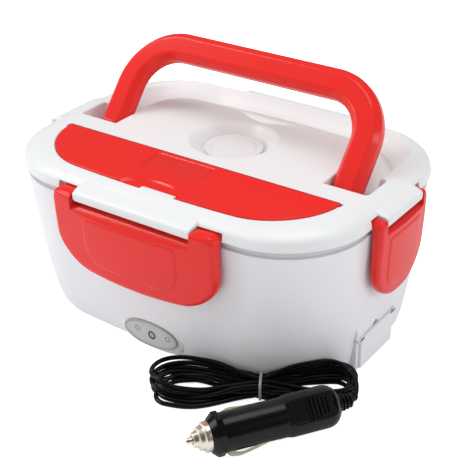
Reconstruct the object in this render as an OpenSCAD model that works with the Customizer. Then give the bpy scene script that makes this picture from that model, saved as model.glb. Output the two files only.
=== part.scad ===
// Electric lunch box for a 12 V car lead: tapered base with a heated well, a food container,
// a lift-off lid held by four swinging latches, a folding handle, a spoon cover, and the coiled lead
// with its lighter plug. Origin: centre of the footprint on the ground. +Z up, +X to the inlet side,
// -Y to the front.

/* [Lid] */
// Length of the lid at its lower rim, side to side
lid_l = 236; // [215:1:260]
// Depth of the lid at its lower rim, front to back
lid_w = 173; // [160:1:190]
// Corner radius of the lid at its lower rim
lid_r = 47; // [40:1:52]
// Height of the lid from its lower rim to its top face
lid_h = 10.2; // [9.5:0.1:13]
// Wall thickness of the lid moulding
lid_wall = 2.4; // [2:0.1:2.6]
// How far the front and back walls bow out in plan
bow_front = 5.4; // [3:0.1:7]
// How far the side walls bow out in plan
bow_side = 2.3; // [1:0.1:3]

/* [Base] */
// Height of the top edge of the base above the ground
rim_z = 90.7; // [86:0.1:105]
// Height of the groove between the base and the lid
groove_h = 4.6; // [4:0.1:6]
// How far the top edge of the base sits in from the lid
rim_in = 1.7; // [1:0.1:2]
// How much the side walls draw in towards the foot
foot_in_side = 6.3; // [4:0.1:9]
// How much the front and back walls draw in towards the foot
foot_in_front = 9.8; // [7:0.1:12]
// Wall thickness of the base moulding
base_wall = 2.4; // [2:0.1:2.8]
// Height of the rubber feet below the bottom cover
foot_h = 1.2; // [0.8:0.1:2]

/* [Well and food container] */
// Air gap between the base wall and the well at the foot
well_gap = 10.4; // [9:0.1:14]
// Wall thickness of the well liner
well_wall = 2; // [1.6:0.1:2.4]
// Height of the well floor above the ground
well_floor_z = 17; // [16:0.1:20]
// Wall thickness of the food container
food_wall = 1.4; // [1:0.1:2]
// Clearance between parts that lift out of each other
lift_gap = 0.8; // [0.6:0.1:1.2]

/* [Heater] */
// Length of the heating plate
plate_l = 150; // [110:1:160]
// Depth of the heating plate
plate_w = 84; // [60:1:96]
// Length of the heater block under the plate
ptc_l = 62; // [40:1:80]

/* [Handle] */
// Height of the handle from its pivots to the centre of the grip
handle_h = 59.6; // [54:0.1:62]
// Width of the handle bar, seen from the front
handle_w = 16; // [12:0.1:17]
// Thickness of the handle bar
handle_t = 14; // [10:0.1:14]
// Distance from the side of the lid to the centre of each handle leg
handle_in = 32.4; // [30:0.1:36]
// Radius of the handle pivots
handle_pin_r = 2; // [1.5:0.1:3]
// How far the handle leans back at rest
handle_lean = 40.4; // [0:0.1:80]

/* [Latches] */
// Width of the front and back latches
latch_front_w = 115.6; // [100:0.2:120]
// Width of the side latches
latch_side_w = 55; // [50:0.2:64]
// Width of the front and back tongues between the latch ears
tongue_front_w = 84; // [70:0.2:88]
// Width of the side tongues between the latch ears
tongue_side_w = 42; // [36:0.2:46]
// Radius of the latch hinge pins
latch_pin_r = 1.2; // [1:0.1:1.4]
// Wall thickness of the latch mouldings
latch_wall = 2.5; // [2:0.1:3]

/* [Spoon cover and vent] */
// Distance from the lid edge to the front edge of the spoon cover
cover_in = 12.7; // [11:0.1:16]
// Depth of the spoon cover from its hinge side to its front edge
cover_w = 45.6; // [40:0.1:50]
// Thickness of the spoon cover
cover_t = 2.2; // [1.8:0.1:2.6]
// Radius of the steam vent recess at the lid's top face
vent_r = 27; // [24:0.1:30]
// Radius of the steam vent cap
vent_cap_r = 18.5; // [15:0.1:20]

/* [Badge and inlet] */
// Length of the oval lamp badge
badge_l = 40; // [32:0.5:50]
// Height of the oval lamp badge
badge_h = 17; // [12:0.5:18]
// Width of the inlet flap
flap_w = 38; // [32:0.5:44]
// Height of the inlet flap
flap_h = 21.6; // [20:0.1:24]

/* [Lead] */
// Diameter of the cord
cord_d = 2.8; // [2.4:0.1:3.2]
// Radius of the lighter plug's barrel
plug_r = 10.7; // [10:0.1:11]
// Radius of the lighter plug's grip
grip_r = 11.4; // [11.2:0.1:12]

/* [Hidden] */

// Colours
RED = "#E73A35";
WHITE = "#F0F0F2";
PALE = "#D9DADF";
GREY = "#B9BABF";
BLACK = "#161616";
STEEL = "#B8BAC0";
NICKEL = "#E4DDC8";
ALU = "#C9CBCF";
SILICONE = "#E8E6DF";
BRASS = "#C8A85A";

// Facets of round cuts, of the plan outline's corners and of its bowed sides
$fn = 48;
CORNER_STEPS = 7;
FRONT_STEPS = 6;
SIDE_STEPS = 4;
eps = 0.01;
touch = 0.3;          // gap between bodies that move apart
pin_gap = 0.05;       // radial clearance of a hinge pin
foot_r_grow = 7.5;    // growth of the corner radius towards the foot

// Main heights
lid_z = rim_z + groove_h;
top_z = lid_z + lid_h;
shoulder_z = lid_z + 0.53*lid_h;
cover_top_z = top_z + 0.6;

// Lid and base half sizes
lid_a = lid_l/2;
lid_b = lid_w/2;
base_a = lid_a - rim_in;
base_b = lid_b - rim_in;
base_r = lid_r - rim_in;

// ---- Plan outline: a rounded rectangle whose four sides bow outwards ----
function arc(cx, cy, r, from, to, steps) =
    [for (i = [0:steps]) let (t = from + (to - from)*i/steps) [cx + r*cos(t), cy + r*sin(t)]];
function between(p, q, steps) = [for (i = [1:steps - 1]) p + (q - p)*i/steps];
function bend(p, a0, b0) =
    [p.x*(1 + bow_side/a0*(1 - pow(p.y/b0, 2))), p.y*(1 + bow_front/b0*(1 - pow(p.x/a0, 2)))];
function outline(a, b, r) = let (a0 = a - bow_side, b0 = b - bow_front, cx = a0 - r, cy = b0 - r)
    [for (p = concat(
        arc(cx, cy, r, 0, 90, CORNER_STEPS), between([cx, b0], [-cx, b0], FRONT_STEPS),
        arc(-cx, cy, r, 90, 180, CORNER_STEPS), between([-a0, cy], [-a0, -cy], SIDE_STEPS),
        arc(-cx, -cy, r, 180, 270, CORNER_STEPS), between([-cx, -b0], [cx, -b0], FRONT_STEPS),
        arc(cx, -cy, r, 270, 360, CORNER_STEPS), between([a0, -cy], [a0, cy], SIDE_STEPS)))
        bend(p, a0, b0)];
function at_z(points, z) = [for (p = points) [p.x, p.y, z]];
// Ring of the lid's plan outline, drawn in by a distance
function lid_ring(inset, z) = at_z(outline(lid_a - inset, lid_b - inset, lid_r - inset), z);
// Share of the base's taper that has built up at a height: mostly straight, turning in at the foot
function taper(z) = let (t = max(0, (rim_z - z)/rim_z)) 0.7*t + 0.3*pow(t, 5);
function base_ring(inset, z, h) = at_z(outline(base_a - foot_in_side*taper(z) - inset,
    base_b - foot_in_front*taper(z) - inset, base_r + foot_r_grow*taper(z) - inset), h);

// Solid through a stack of rings that all have the same number of points
module loft(rings) {
    n = len(rings[0]);
    m = len(rings);
    polyhedron(
        points = [for (ring = rings) each ring],
        faces = concat([[for (i = [0:n - 1]) i]], [[for (i = [n - 1:-1:0]) (m - 1)*n + i]],
            [for (j = [0:m - 2], i = [0:n - 1]) let (k = (i + 1)%n)
                each [[j*n + i, (j + 1)*n + i, (j + 1)*n + k], [j*n + i, (j + 1)*n + k, j*n + k]]]),
        convexity = 6);
}
// Straight-sided solid on a plan outline
module slab(a, b, r, z0, z1) {
    translate([0, 0, z0]) linear_extrude(z1 - z0) polygon(outline(a, b, r));
}
// Polygon in (outward, up) coordinates, swept along the width of the front side
module side_prism(points, width) {
    translate([width/2, 0, 0]) rotate([90, 0, -90]) linear_extrude(width) polygon(points);
}
// The same on the four sides: 0 front, 1 right, 2 back, 3 left
module on_side(k) rotate([0, 0, 90*k]) children();
module ring_between(r_out, r_in, h) {
    difference() {
        cylinder(r = r_out, h = h);
        translate([0, 0, -eps]) cylinder(r = r_in, h = h + 2*eps);
    }
}

// ---- Base ----
floor_z = foot_h;                    // underside of the base
cover_plate_t = 2.2;
ledge_z = floor_z + cover_plate_t;
ledge_t = 2.2;
ledge_w = 9;
cover_plate_in = 5;
corner_x = base_a - foot_in_side - bow_side - base_r - foot_r_grow;
corner_y = base_b - foot_in_front - bow_front - base_r - foot_r_grow;
boss_r = 4.6;
boss_out = (base_r + foot_r_grow - ledge_w - 1)*sqrt(0.5);
boss_at = [corner_x + boss_out, corner_y + boss_out];
boss_top = ledge_z + 8;
screw_r = 1.5;
screw_head_r = 3.2;
screw_head_h = 1.4;
foot_pad_r = 7;
foot_at = [boss_at.x - 16, boss_at.y - 2];
foot_sunk = 1.2;

// Ledges under the rim that the latches snap behind
ledge_out = 1.4;
catch_h = 2.4;
catch_z = rim_z - 8;
catch_front = 30;
catch_side = 14;

// Inlet housing on the right side and lamp pad on the front
inlet_y = -9;
housing_w = flap_w + 5;
housing_h = flap_h + 11;
housing_x = base_a - 2.9;
jack_z = floor_z + 11;
jack_plate = [26, 16];
lamp_z = 11;
pad_grow = 3;
badge_t = 1.4;
pad_y = base_b - foot_in_front*taper(lamp_z) + 0.6;
lens_r = 3;
led_r = 2.5;

function ellipse(a, b, steps) = [for (i = [0:steps - 1]) let (t = 360*i/steps) [a*cos(t), b*sin(t)]];
// Solid on an outline in (across, up) coordinates, from one depth to another along Y
module facing_front(points, y_front, depth) {
    translate([0, y_front + depth, 0]) rotate([90, 0, 0]) linear_extrude(depth) polygon(points);
}
module four_corners(p) {
    for (sx = [-1, 1], sy = [-1, 1]) translate([sx*p.x, sy*p.y, 0]) children();
}
module lamp_pad() {
    translate([0, 0, lamp_z + 0.4]) intersection() {
        facing_front(ellipse(badge_l/2 + pad_grow, badge_h/2 + pad_grow, 40), -pad_y, 6);
        translate([-lid_a, -lid_b, -lamp_z - 0.4 + floor_z]) cube([lid_l, lid_w, rim_z]);
    }
}
// Housing for the inlet: its top slopes back into the tapered wall
module inlet_housing() {
    on_side(1) translate([inlet_y, 0, 0]) side_prism([
        [housing_x - 7, floor_z], [housing_x, floor_z], [housing_x, floor_z + housing_h - 6],
        [housing_x - 2.4, floor_z + housing_h], [housing_x - 7, floor_z + housing_h]], housing_w);
}
module catch_ledges() {
    intersection() {
        difference() {
            slab(base_a + ledge_out, base_b + ledge_out, base_r + ledge_out, catch_z, catch_z + catch_h);
            slab(base_a - 2, base_b - 2, base_r - 2, catch_z - eps, catch_z + catch_h + eps);
        }
        union() {
            cube([2*catch_front, 2*lid_w, 3*rim_z], center = true);
            cube([2*lid_l, 2*catch_side, 3*rim_z], center = true);
        }
    }
}
module base_shell() {
    color(WHITE) difference() {
        union() {
            difference() {
                union() {
                    loft([base_ring(2.4, floor_z, floor_z), base_ring(0.8, floor_z + 0.8, floor_z + 0.8),
                        base_ring(0, floor_z + 2.6, floor_z + 2.6),
                        for (z = [14, 28, rim_z - 46.7, rim_z - 28.7, rim_z - 12.7, rim_z]) base_ring(0, z, z)]);
                    lamp_pad();
                    inlet_housing();
                    catch_ledges();
                }
                loft([for (z = [ledge_z + ledge_t, 20, rim_z - 50.7, rim_z - 26.7]) base_ring(base_wall, z, z),
                    base_ring(base_wall, rim_z, rim_z + 1)]);
                slab_at_floor(cover_plate_in + ledge_w, 0, ledge_z + ledge_t + 1);
                slab_at_floor(cover_plate_in, 0, ledge_z);
            }
            intersection() {
                four_corners(boss_at) translate([0, 0, ledge_z])
                    cylinder(r = boss_r, h = boss_top - ledge_z);
                slab_at_floor(cover_plate_in - 1, ledge_z, boss_top);
            }
            jack_boss();
        }
        four_corners(boss_at) translate([0, 0, ledge_z - 1])
            cylinder(r = screw_r, h = boss_top - ledge_z + 2);
        jack_cut();
        flap_hinge_cut();
        lamp_cut();
    }
}
// Straight-sided solid on the foot's outline, drawn in by a distance
module slab_at_floor(inset, z0, z1) {
    slab(base_a - foot_in_side - inset, base_b - foot_in_front - inset,
        base_r + foot_r_grow - inset, z0, z1);
}
module bottom_cover() {
    color(WHITE) difference() {
        slab_at_floor(cover_plate_in, floor_z, ledge_z);
        four_corners(boss_at) {
            cylinder(r = screw_r, h = ledge_z + 1);
            cylinder(r = screw_head_r, h = floor_z + screw_head_h);
        }
        four_corners(foot_at) cylinder(r = foot_pad_r, h = floor_z + foot_sunk);
    }
}
module rubber_feet() {
    color(BLACK) four_corners(foot_at) cylinder(r = foot_pad_r, h = floor_z + foot_sunk);
}
module bottom_screws() {
    color(STEEL) four_corners(boss_at) {
        difference() {
            translate([0, 0, floor_z]) cylinder(r = screw_head_r, h = screw_head_h);
            for (a = [0, 90]) translate([0, 0, floor_z]) rotate([0, 0, a])
                cube([3.6, 0.7, 1.2], center = true);
        }
        translate([0, 0, floor_z + screw_head_h])
            cylinder(r = screw_r, h = boss_top - floor_z - screw_head_h - 1);
    }
}

// ---- Well ----
mouth_a = base_a - base_wall - 3.6;
mouth_b = base_b - base_wall - 3.4;
mouth_r = base_r - 6;
shelf_z = rim_z - 8.7;
shelf_t = 2;
well_top = [mouth_a - 7.3, mouth_b - 8, mouth_r - 5];
well_foot = [base_a - foot_in_side - well_gap - well_wall, base_b - foot_in_front - well_gap + 1.4, 36];
plate_r = 16;
plate_t = 1.8;
plate_lip = 8;
plate_under = 3;

function grow(s, d) = [s[0] + d, s[1] + d, s[2] + d];
function mix(p, q, t) = p + (q - p)*t;
// Size of the well's inside at a height, and its ring
function well_size(z) = mix(well_foot, well_top, (z - well_floor_z)/(shelf_z - well_floor_z));
function ring_of(s, z) = at_z(outline(s[0], s[1], s[2]), z);
module plate_hole(l, w, r, z0, z1) {
    translate([0, 0, z0]) linear_extrude(z1 - z0) rounded_plan(l, w, r);
}
module rounded_plan(l, w, r) {
    polygon(concat(arc(l/2 - r, w/2 - r, r, 0, 90, 6), arc(-l/2 + r, w/2 - r, r, 90, 180, 6),
        arc(-l/2 + r, -w/2 + r, r, 180, 270, 6), arc(l/2 - r, -w/2 + r, r, 270, 360, 6)));
}
module well_liner() {
    color(PALE) difference() {
        union() {
            slab(lid_a - 3.2, lid_b - 3.2, lid_r - 3.2, rim_z, lid_z - touch);
            slab(mouth_a + well_wall, mouth_b + well_wall, mouth_r + well_wall,
                shelf_z - shelf_t, rim_z + eps);
            loft([ring_of(grow(well_size(well_floor_z - 2), well_wall), well_floor_z - 2),
                ring_of(grow(well_size(shelf_z), well_wall), shelf_z)]);
        }
        slab(mouth_a, mouth_b, mouth_r, shelf_z, lid_z);
        loft([ring_of(well_size(well_floor_z), well_floor_z),
            ring_of(well_size(shelf_z + 1), shelf_z + 1)]);
        plate_hole(plate_l, plate_w, plate_r, well_floor_z - 0.8, well_floor_z + 1);
        plate_hole(plate_l - 2*plate_lip, plate_w - 2*plate_lip, plate_r - plate_lip/2, 0, well_floor_z);
    }
}

// ---- Heater ----
plate_top = well_floor_z - 0.8 + plate_t;
ptc_w = 34;
ptc_h = 5;
ptc_z = well_floor_z - 0.8 - plate_under - ptc_h;
clamp_t = 1;
clamp_l = ptc_l + 36;
clamp_w = 16;
clamp_screw_at = ptc_l/2 + 12;
thermostat_r = 7;
thermostat_at = [ptc_l/2 + 10, 24];
module heating_plate() {
    color(ALU) difference() {
        union() {
            plate_hole(plate_l, plate_w, plate_r, plate_top - plate_t, plate_top);
            plate_hole(plate_l - 2*plate_lip, plate_w - 2*plate_lip, plate_r - plate_lip/2,
                plate_top - plate_t - plate_under, plate_top);
        }
        for (s = [-1, 1]) translate([s*clamp_screw_at, 0, 0]) cylinder(r = screw_r, h = plate_top - 1.6);
    }
}
module ptc_heater() {
    color(BRASS) translate([-ptc_l/2, -ptc_w/2, ptc_z]) cube([ptc_l, ptc_w, ptc_h]);
}
module heater_clamp() {
    color(STEEL) difference() {
        union() {
            translate([-ptc_l/2 - 1.4, -clamp_w/2, ptc_z - clamp_t]) cube([ptc_l + 2.8, clamp_w, clamp_t]);
            for (s = [-1, 1]) {
                translate([s*(ptc_l/2 + 0.9) - 0.5, -clamp_w/2, ptc_z - clamp_t])
                    cube([1, clamp_w, ptc_h + clamp_t]);
                translate([min(s*(ptc_l/2 + 0.4), s*clamp_l/2), -clamp_w/2, ptc_z + ptc_h - clamp_t])
                    cube([clamp_l/2 - ptc_l/2 - 0.4, clamp_w, clamp_t]);
            }
        }
        for (s = [-1, 1]) translate([s*clamp_screw_at, 0, 0]) cylinder(r = screw_r, h = 30);
    }
}
module clamp_screws() {
    color(STEEL) for (s = [-1, 1]) translate([s*clamp_screw_at, 0, ptc_z + ptc_h - clamp_t]) {
        translate([0, 0, -1.6]) cylinder(r = 2.8, h = 1.6);
        cylinder(r = screw_r, h = 4);
    }
}
module thermostat() {
    color(STEEL) translate([thermostat_at.x, thermostat_at.y, plate_top - plate_t - plate_under]) {
        translate([0, 0, -4]) cylinder(r = thermostat_r, h = 4);
        for (s = [-1, 1]) translate([s*4 - 1.5, -0.4, -7]) cube([3, 0.8, 3.2]);
    }
}

// ---- Tubes swept along a route ----
function unit(v) = v/norm(v);
function route_dir(p, i) = unit(p[min(i + 1, len(p) - 1)] - p[max(i - 1, 0)]);
function frame_of(d) = let (s = abs(d.z) > 0.9 ? [1, 0, 0] : unit(cross([0, 0, 1], d))) [s, cross(d, s)];
// Points on a smooth curve through a route's own points
function smooth(p, steps) = concat([for (i = [0:len(p) - 2], k = [0:steps - 1])
    let (t = k/steps, a = p[max(i - 1, 0)], b = p[i], c = p[i + 1], d = p[min(i + 2, len(p) - 1)])
    0.5*(2*b + (c - a)*t + (2*a - 5*b + 4*c - d)*t*t + (3*b - a - 3*c + d)*t*t*t)], [p[len(p) - 1]]);
module tube(p, r, sides = 8) {
    loft([for (i = [0:len(p) - 1]) let (f = frame_of(route_dir(p, i)))
        [for (k = [0:sides - 1]) p[i] + r*(cos(360*k/sides)*f[0] + sin(360*k/sides)*f[1])]]);
}

// ---- Inlet ----
jack_depth = 12;
jack_recess_r = 4.8;
jack_hole_r = 2.9;
jack_pin_r = 1;
socket_x = housing_x - 0.6;
flap_t = 2.1;
flap_x = housing_x + touch;
flap_top = floor_z + flap_h;
flap_axis = [flap_x + flap_t/2, inlet_y, flap_top - flap_t/2];
flap_pin_r = 0.7;
flap_pin_l = 3;
ear_t = 2;
module jack_boss() {
    intersection() {
        translate([socket_x - 3, inlet_y - jack_plate.x/2 - 2, ledge_z])
            cube([2.6, jack_plate.x + 4, jack_plate.y + 8]);
        slab_at_floor(-3, 0, rim_z);
    }
    for (s = [-1, 1])
        translate([housing_x - 1, inlet_y + s*(flap_w/2 + ear_t/2 + touch) - ear_t/2, flap_top - flap_t])
            cube([1 + touch + flap_t, ear_t, flap_t]);
}
module jack_cut() {
    translate([socket_x - jack_depth - 1, inlet_y - jack_plate.x/2, jack_z - jack_plate.y/2])
        cube([jack_depth + 5, jack_plate.x, jack_plate.y]);
}
module flap_hinge_cut() {
    for (s = [-1, 1]) translate([flap_axis.x, inlet_y + s*(flap_w/2 + ear_t/2 + touch), flap_axis.z])
        rotate([90, 0, 0]) cylinder(r = flap_pin_r, h = ear_t + 1, center = true);
}
module inlet_socket() {
    color(BLACK) difference() {
        union() {
            translate([socket_x - 2, inlet_y - jack_plate.x/2, jack_z - jack_plate.y/2])
                cube([2, jack_plate.x, jack_plate.y]);
            translate([socket_x - jack_depth, inlet_y, jack_z]) rotate([0, 90, 0])
                cylinder(r = jack_recess_r + 1.4, h = jack_depth);
        }
        translate([socket_x - 4, inlet_y, jack_z]) rotate([0, 90, 0]) cylinder(r = jack_recess_r, h = 5);
        translate([socket_x - jack_depth + 1.5, inlet_y, jack_z]) rotate([0, 90, 0])
            cylinder(r = jack_hole_r, h = jack_depth);
        translate([socket_x - jack_depth - 1, inlet_y, jack_z]) rotate([0, 90, 0])
            cylinder(r = jack_pin_r, h = 4);
    }
}
module inlet_pin() {
    color(NICKEL) translate([socket_x - jack_depth - 3, inlet_y, jack_z]) rotate([0, 90, 0])
        cylinder(r = jack_pin_r, h = jack_depth + 1.5);
}
module heater_wires() {
    color(RED) {
        tube(smooth([[socket_x - jack_depth - 2.4, inlet_y + 2.2, jack_z], [92, inlet_y + 3, 9.5],
            [84, 4, 8], [70, 18, 7.6], [thermostat_at.x + 5.8, thermostat_at.y, 7.6]], 3), 0.8);
        tube(smooth([[socket_x - jack_depth - 2.4, inlet_y - 2.2, jack_z], [90, inlet_y - 6, 9.5],
            [76, -22, 7.5], [56, -20, 7.5], [ptc_l/2 - 4, -ptc_w/2 - 1, ptc_z + 2.5]], 3), 0.8);
    }
}
module inlet_flap() {
    color(WHITE) difference() {
        union() {
            translate([flap_x, inlet_y - flap_w/2, floor_z + 0.6])
                cube([flap_t, flap_w, flap_h - flap_t/2 - 0.6]);
            translate(flap_axis) rotate([90, 0, 0]) cylinder(r = flap_t/2, h = flap_w, center = true);
        }
        for (s = [-1, 1]) translate(flap_axis + [0, s*flap_w/2, 0]) rotate([90, 0, 0])
            cylinder(r = flap_pin_r + pin_gap, h = 2*(flap_pin_l + 0.5), center = true);
        translate([flap_x + flap_t - 0.8, inlet_y - 7, floor_z - 1]) cube([2, 14, 3]);
    }
}
module flap_pins() {
    color(STEEL) for (s = [-1, 1]) translate(flap_axis + [0, s*(flap_w/2 + ear_t + touch), 0])
        rotate([90*s, 0, 0]) cylinder(r = flap_pin_r, h = ear_t + touch + flap_pin_l);
}

// ---- Lamp badge ----
module lamp_cut() {
    translate([0, -pad_y - 1, lamp_z]) rotate([-90, 0, 0]) cylinder(r = lens_r, h = 16);
    translate([0, 0, lamp_z]) facing_front(ellipse(badge_l/2 + 0.2, badge_h/2 + 0.2, 40), -pad_y - 8, 8);
}
module indicator_badge() {
    color(GREY) difference() {
        translate([0, 0, lamp_z])
            facing_front(ellipse(badge_l/2, badge_h/2, 40), -pad_y - badge_t, badge_t);
        translate([0, -pad_y - 5, lamp_z]) rotate([-90, 0, 0]) cylinder(r = lens_r, h = 10);
    }
}
module indicator_lens() {
    color(RED) translate([0, -pad_y - badge_t - 0.4, lamp_z]) rotate([-90, 0, 0]) difference() {
        cylinder(r = lens_r, h = 7);
        translate([0, 0, 1.6]) cylinder(r = led_r, h = 8);
    }
}
module indicator_led() {
    color(BRASS) translate([0, -pad_y - badge_t + 1.4, lamp_z]) rotate([-90, 0, 0]) {
        cylinder(r = led_r - 0.1, h = 5);
        for (s = [-1, 1]) translate([s*1.2, 0, 5 - eps]) cylinder(r = 0.3, h = 6);
    }
}

// ---- Food container ----
food_rim_t = 1.7;
food_rim_z = shelf_z + touch;
food_floor = plate_top + touch;
food_top = grow(well_top, -1.5);
food_foot = grow(well_foot, -2.6);
module food_container() {
    color(PALE) difference() {
        union() {
            slab(mouth_a - 2.4, mouth_b - 2.4, mouth_r - 2.4, food_rim_z, food_rim_z + food_rim_t);
            loft([ring_of(grow(food_foot, -2.4), food_floor), ring_of(food_foot, food_floor + 3),
                ring_of(food_top, food_rim_z + eps)]);
        }
        loft([ring_of(grow(food_foot, -food_wall - 2.4), food_floor + food_wall),
            ring_of(grow(food_foot, -food_wall), food_floor + food_wall + 3),
            ring_of(grow(food_top, -food_wall), food_rim_z + food_rim_t + 1)]);
    }
}

// ---- Lid inside ----
seal_z = food_rim_z + food_rim_t + touch;
seal_h = 2.1;
liner_z = seal_z + seal_h;
liner_t = 1.8;
liner_top = liner_z + liner_t;
nest_a = mouth_a - lift_gap;
nest_b = mouth_b - lift_gap;
nest_r = mouth_r - lift_gap;
seal_in = 3.4;
seal_w = 4;
vent_y = 10.2;
vent_floor = top_z - 7;
vent_cap_t = 1.6;
steam_r = 3;
chimney_r = 6;
module seal_band(inset, w, z0, z1) {
    difference() {
        slab(nest_a - inset, nest_b - inset, nest_r - inset, z0, z1);
        slab(nest_a - inset - w, nest_b - inset - w, nest_r - inset - w, z0 - 1, z1 + 1);
    }
}
module lid_liner() {
    color(WHITE) difference() {
        union() {
            slab(nest_a, nest_b, nest_r, liner_z, liner_top);
            seal_band(seal_in - 1.2, 1.2, liner_z - 1.2, liner_z + eps);
            seal_band(seal_in + seal_w, 1.2, liner_z - 1.2, liner_z + eps);
        }
        translate([0, vent_y, liner_z - 1]) cylinder(r = steam_r, h = 4);
    }
}
module lid_seal() {
    color(SILICONE) seal_band(seal_in, seal_w, seal_z, liner_z);
}

// ---- Lid shell ----
pocket_out = 13;                       // lid edge to the outer wall of the handle pockets
pocket_front = -11;
pocket_back = 12;
pivot_z = lid_z + 3.7;
pivot_y = 0.4;
channel_floor = pivot_z - handle_t/2 - 0.6;
tub_t = 1.8;
handle_r = 31.5;
leg_x = lid_a - handle_in;
channel_gap = 4.5;
channel_a = leg_x + handle_w/2 + channel_gap;
channel_b = pivot_y + handle_h + handle_w/2 + channel_gap;
channel_r = handle_r + handle_w/2 + channel_gap;
platform_gap = 1.2;
platform_a = leg_x - handle_w/2 - platform_gap;
platform_b = pivot_y + handle_h - handle_w/2 - platform_gap;
platform_r = handle_r - handle_w/2 - platform_gap;
scoop_depth = 8;
scoop_half = 22;
channel_rim_z = lid_z + 5.7;
channel_rim_b = lid_b - 6.2;

// Where each side's wall stands at a distance along it, and where the latch hinge sits
function wall_at(k, u) = k%2 == 0 ? lid_b - bow_front*pow(u/(lid_a - bow_side), 2)
    : lid_a - bow_side*pow(u/(lid_b - bow_front), 2);
function latch_half(k) = (k%2 == 0 ? latch_front_w : latch_side_w)/2;
function tongue_half(k) = (k%2 == 0 ? tongue_front_w : tongue_side_w)/2;
function ear_wall(k) = wall_at(k, (latch_half(k) + tongue_half(k))/2);
hinge_out = 1.9;
hinge_z = lid_z + 1.9;
ear_top = hinge_z + 2.3;
ear_back = 2.8;
ear_gap = 0.5;
tongue_out = 6;

// Raised platform between the handle legs; its back edge has a scoop for the fingers
module platform_plan(inset) {
    a = platform_a - inset;
    b = platform_b - inset;
    r = max(2, platform_r - inset);
    polygon(concat([[-a, pocket_front - 1], [a, pocket_front - 1]], arc(a - r, b - r, r, 0, 90, 6),
        [for (i = [0:8]) let (x = scoop_half*(1 - i/4))
            [x, b - scoop_depth*pow(cos(90*x/scoop_half), 2)]],
        arc(-a + r, b - r, r, 90, 180, 6)));
}
module pocket_plan(grown) {
    for (s = [-1, 1]) translate([s*(platform_a + lid_a - pocket_out)/2, (pocket_front + pocket_back)/2])
        square([lid_a - pocket_out - platform_a + 2*grown, pocket_back - pocket_front + 2*grown],
            center = true);
}
// Volume that the folded handle and the fingers need: channel with a sloped back wall, and the leg pockets
module handle_room() {
    difference() {
        union() {
            channel(0);
            translate([0, 0, channel_floor]) linear_extrude(lid_h + 20) pocket_plan(0);
        }
        translate([0, 0, channel_floor - 1]) linear_extrude(lid_h + 24) platform_plan(0);
    }
}
module channel(grown) {
    intersection() {
        loft([ring_of([channel_a + grown, channel_b + grown, channel_r + grown], channel_floor - grown),
            ring_of([channel_a + 2 + grown, channel_rim_b + grown, channel_r + 1 + grown], channel_rim_z),
            ring_of([channel_a + 3.5 + grown, lid_b + 8 + grown, channel_r + 1 + grown], top_z + 2)]);
        translate([-lid_a, pocket_front - grown, 0]) cube([lid_l, lid_w, 2*top_z]);
    }
}
// Walls and floor around that volume
module handle_tub() {
    difference() {
        union() {
            channel(tub_t);
            translate([0, 0, channel_floor - tub_t])
                linear_extrude(top_z - 1 - channel_floor + tub_t) pocket_plan(tub_t);
        }
        translate([0, 0, channel_floor - tub_t - 1]) linear_extrude(lid_h + 24) platform_plan(tub_t);
    }
}

// Spoon tray and its cover
cover_back = -lid_b + cover_in + cover_w;
cover_a = lid_a - cover_in - 4.8;
cover_b = lid_b - cover_in;
cover_r = lid_r - 7;
cover_gap = 0.4;
cover_z = cover_top_z - cover_t;
barrel_r = 1.6;
cover_axis = [0, cover_back - barrel_r, cover_top_z - barrel_r];
cover_pin_r = 0.9;
cover_pin_l = 4;
cover_end = cover_a - 2;
notch_half = 19;
notch_in = 3;
tray_in = 4;
tray_floor = lid_z - 3.4;
module cover_plan(grown) {
    intersection() {
        polygon(outline(cover_a + grown, cover_b + grown, cover_r + grown));
        translate([-lid_a, -lid_w]) square([lid_l, lid_w + cover_back + grown]);
    }
}
module tray_plan(grown) {
    intersection() {
        polygon(outline(cover_a - tray_in + grown, cover_b - tray_in + grown, cover_r - tray_in + grown));
        translate([-lid_a, -lid_w]) square([lid_l, lid_w + cover_back + cover_gap + grown]);
    }
}
module thumb_notch(grown) {
    translate([0, -cover_b, 0]) linear_extrude(top_z + 20)
        polygon([[-notch_half - grown, -6], [notch_half + grown, -6],
            [notch_half - 6 + grown, notch_in + grown], [-notch_half + 6 - grown, notch_in + grown]]);
}
module spoon_cover() {
    color(RED) difference() {
        union() {
            difference() {
                translate([0, 0, cover_z]) linear_extrude(cover_t) intersection() {
                    cover_plan(0);
                    translate([-lid_a, -lid_w]) square([lid_l, lid_w + cover_axis.y]);
                }
                thumb_notch(0);
                translate([-20, cover_back - 30, cover_top_z - 0.5]) cube([40, 17, 2]);
            }
            translate(cover_axis) rotate([0, 90, 0]) cylinder(r = barrel_r, h = 2*cover_end, center = true);
        }
        for (s = [-1, 1]) translate(cover_axis + [s*cover_end, 0, 0]) rotate([0, 90, 0])
            cylinder(r = cover_pin_r + pin_gap, h = 2*(cover_pin_l + 0.5), center = true);
    }
}
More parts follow.
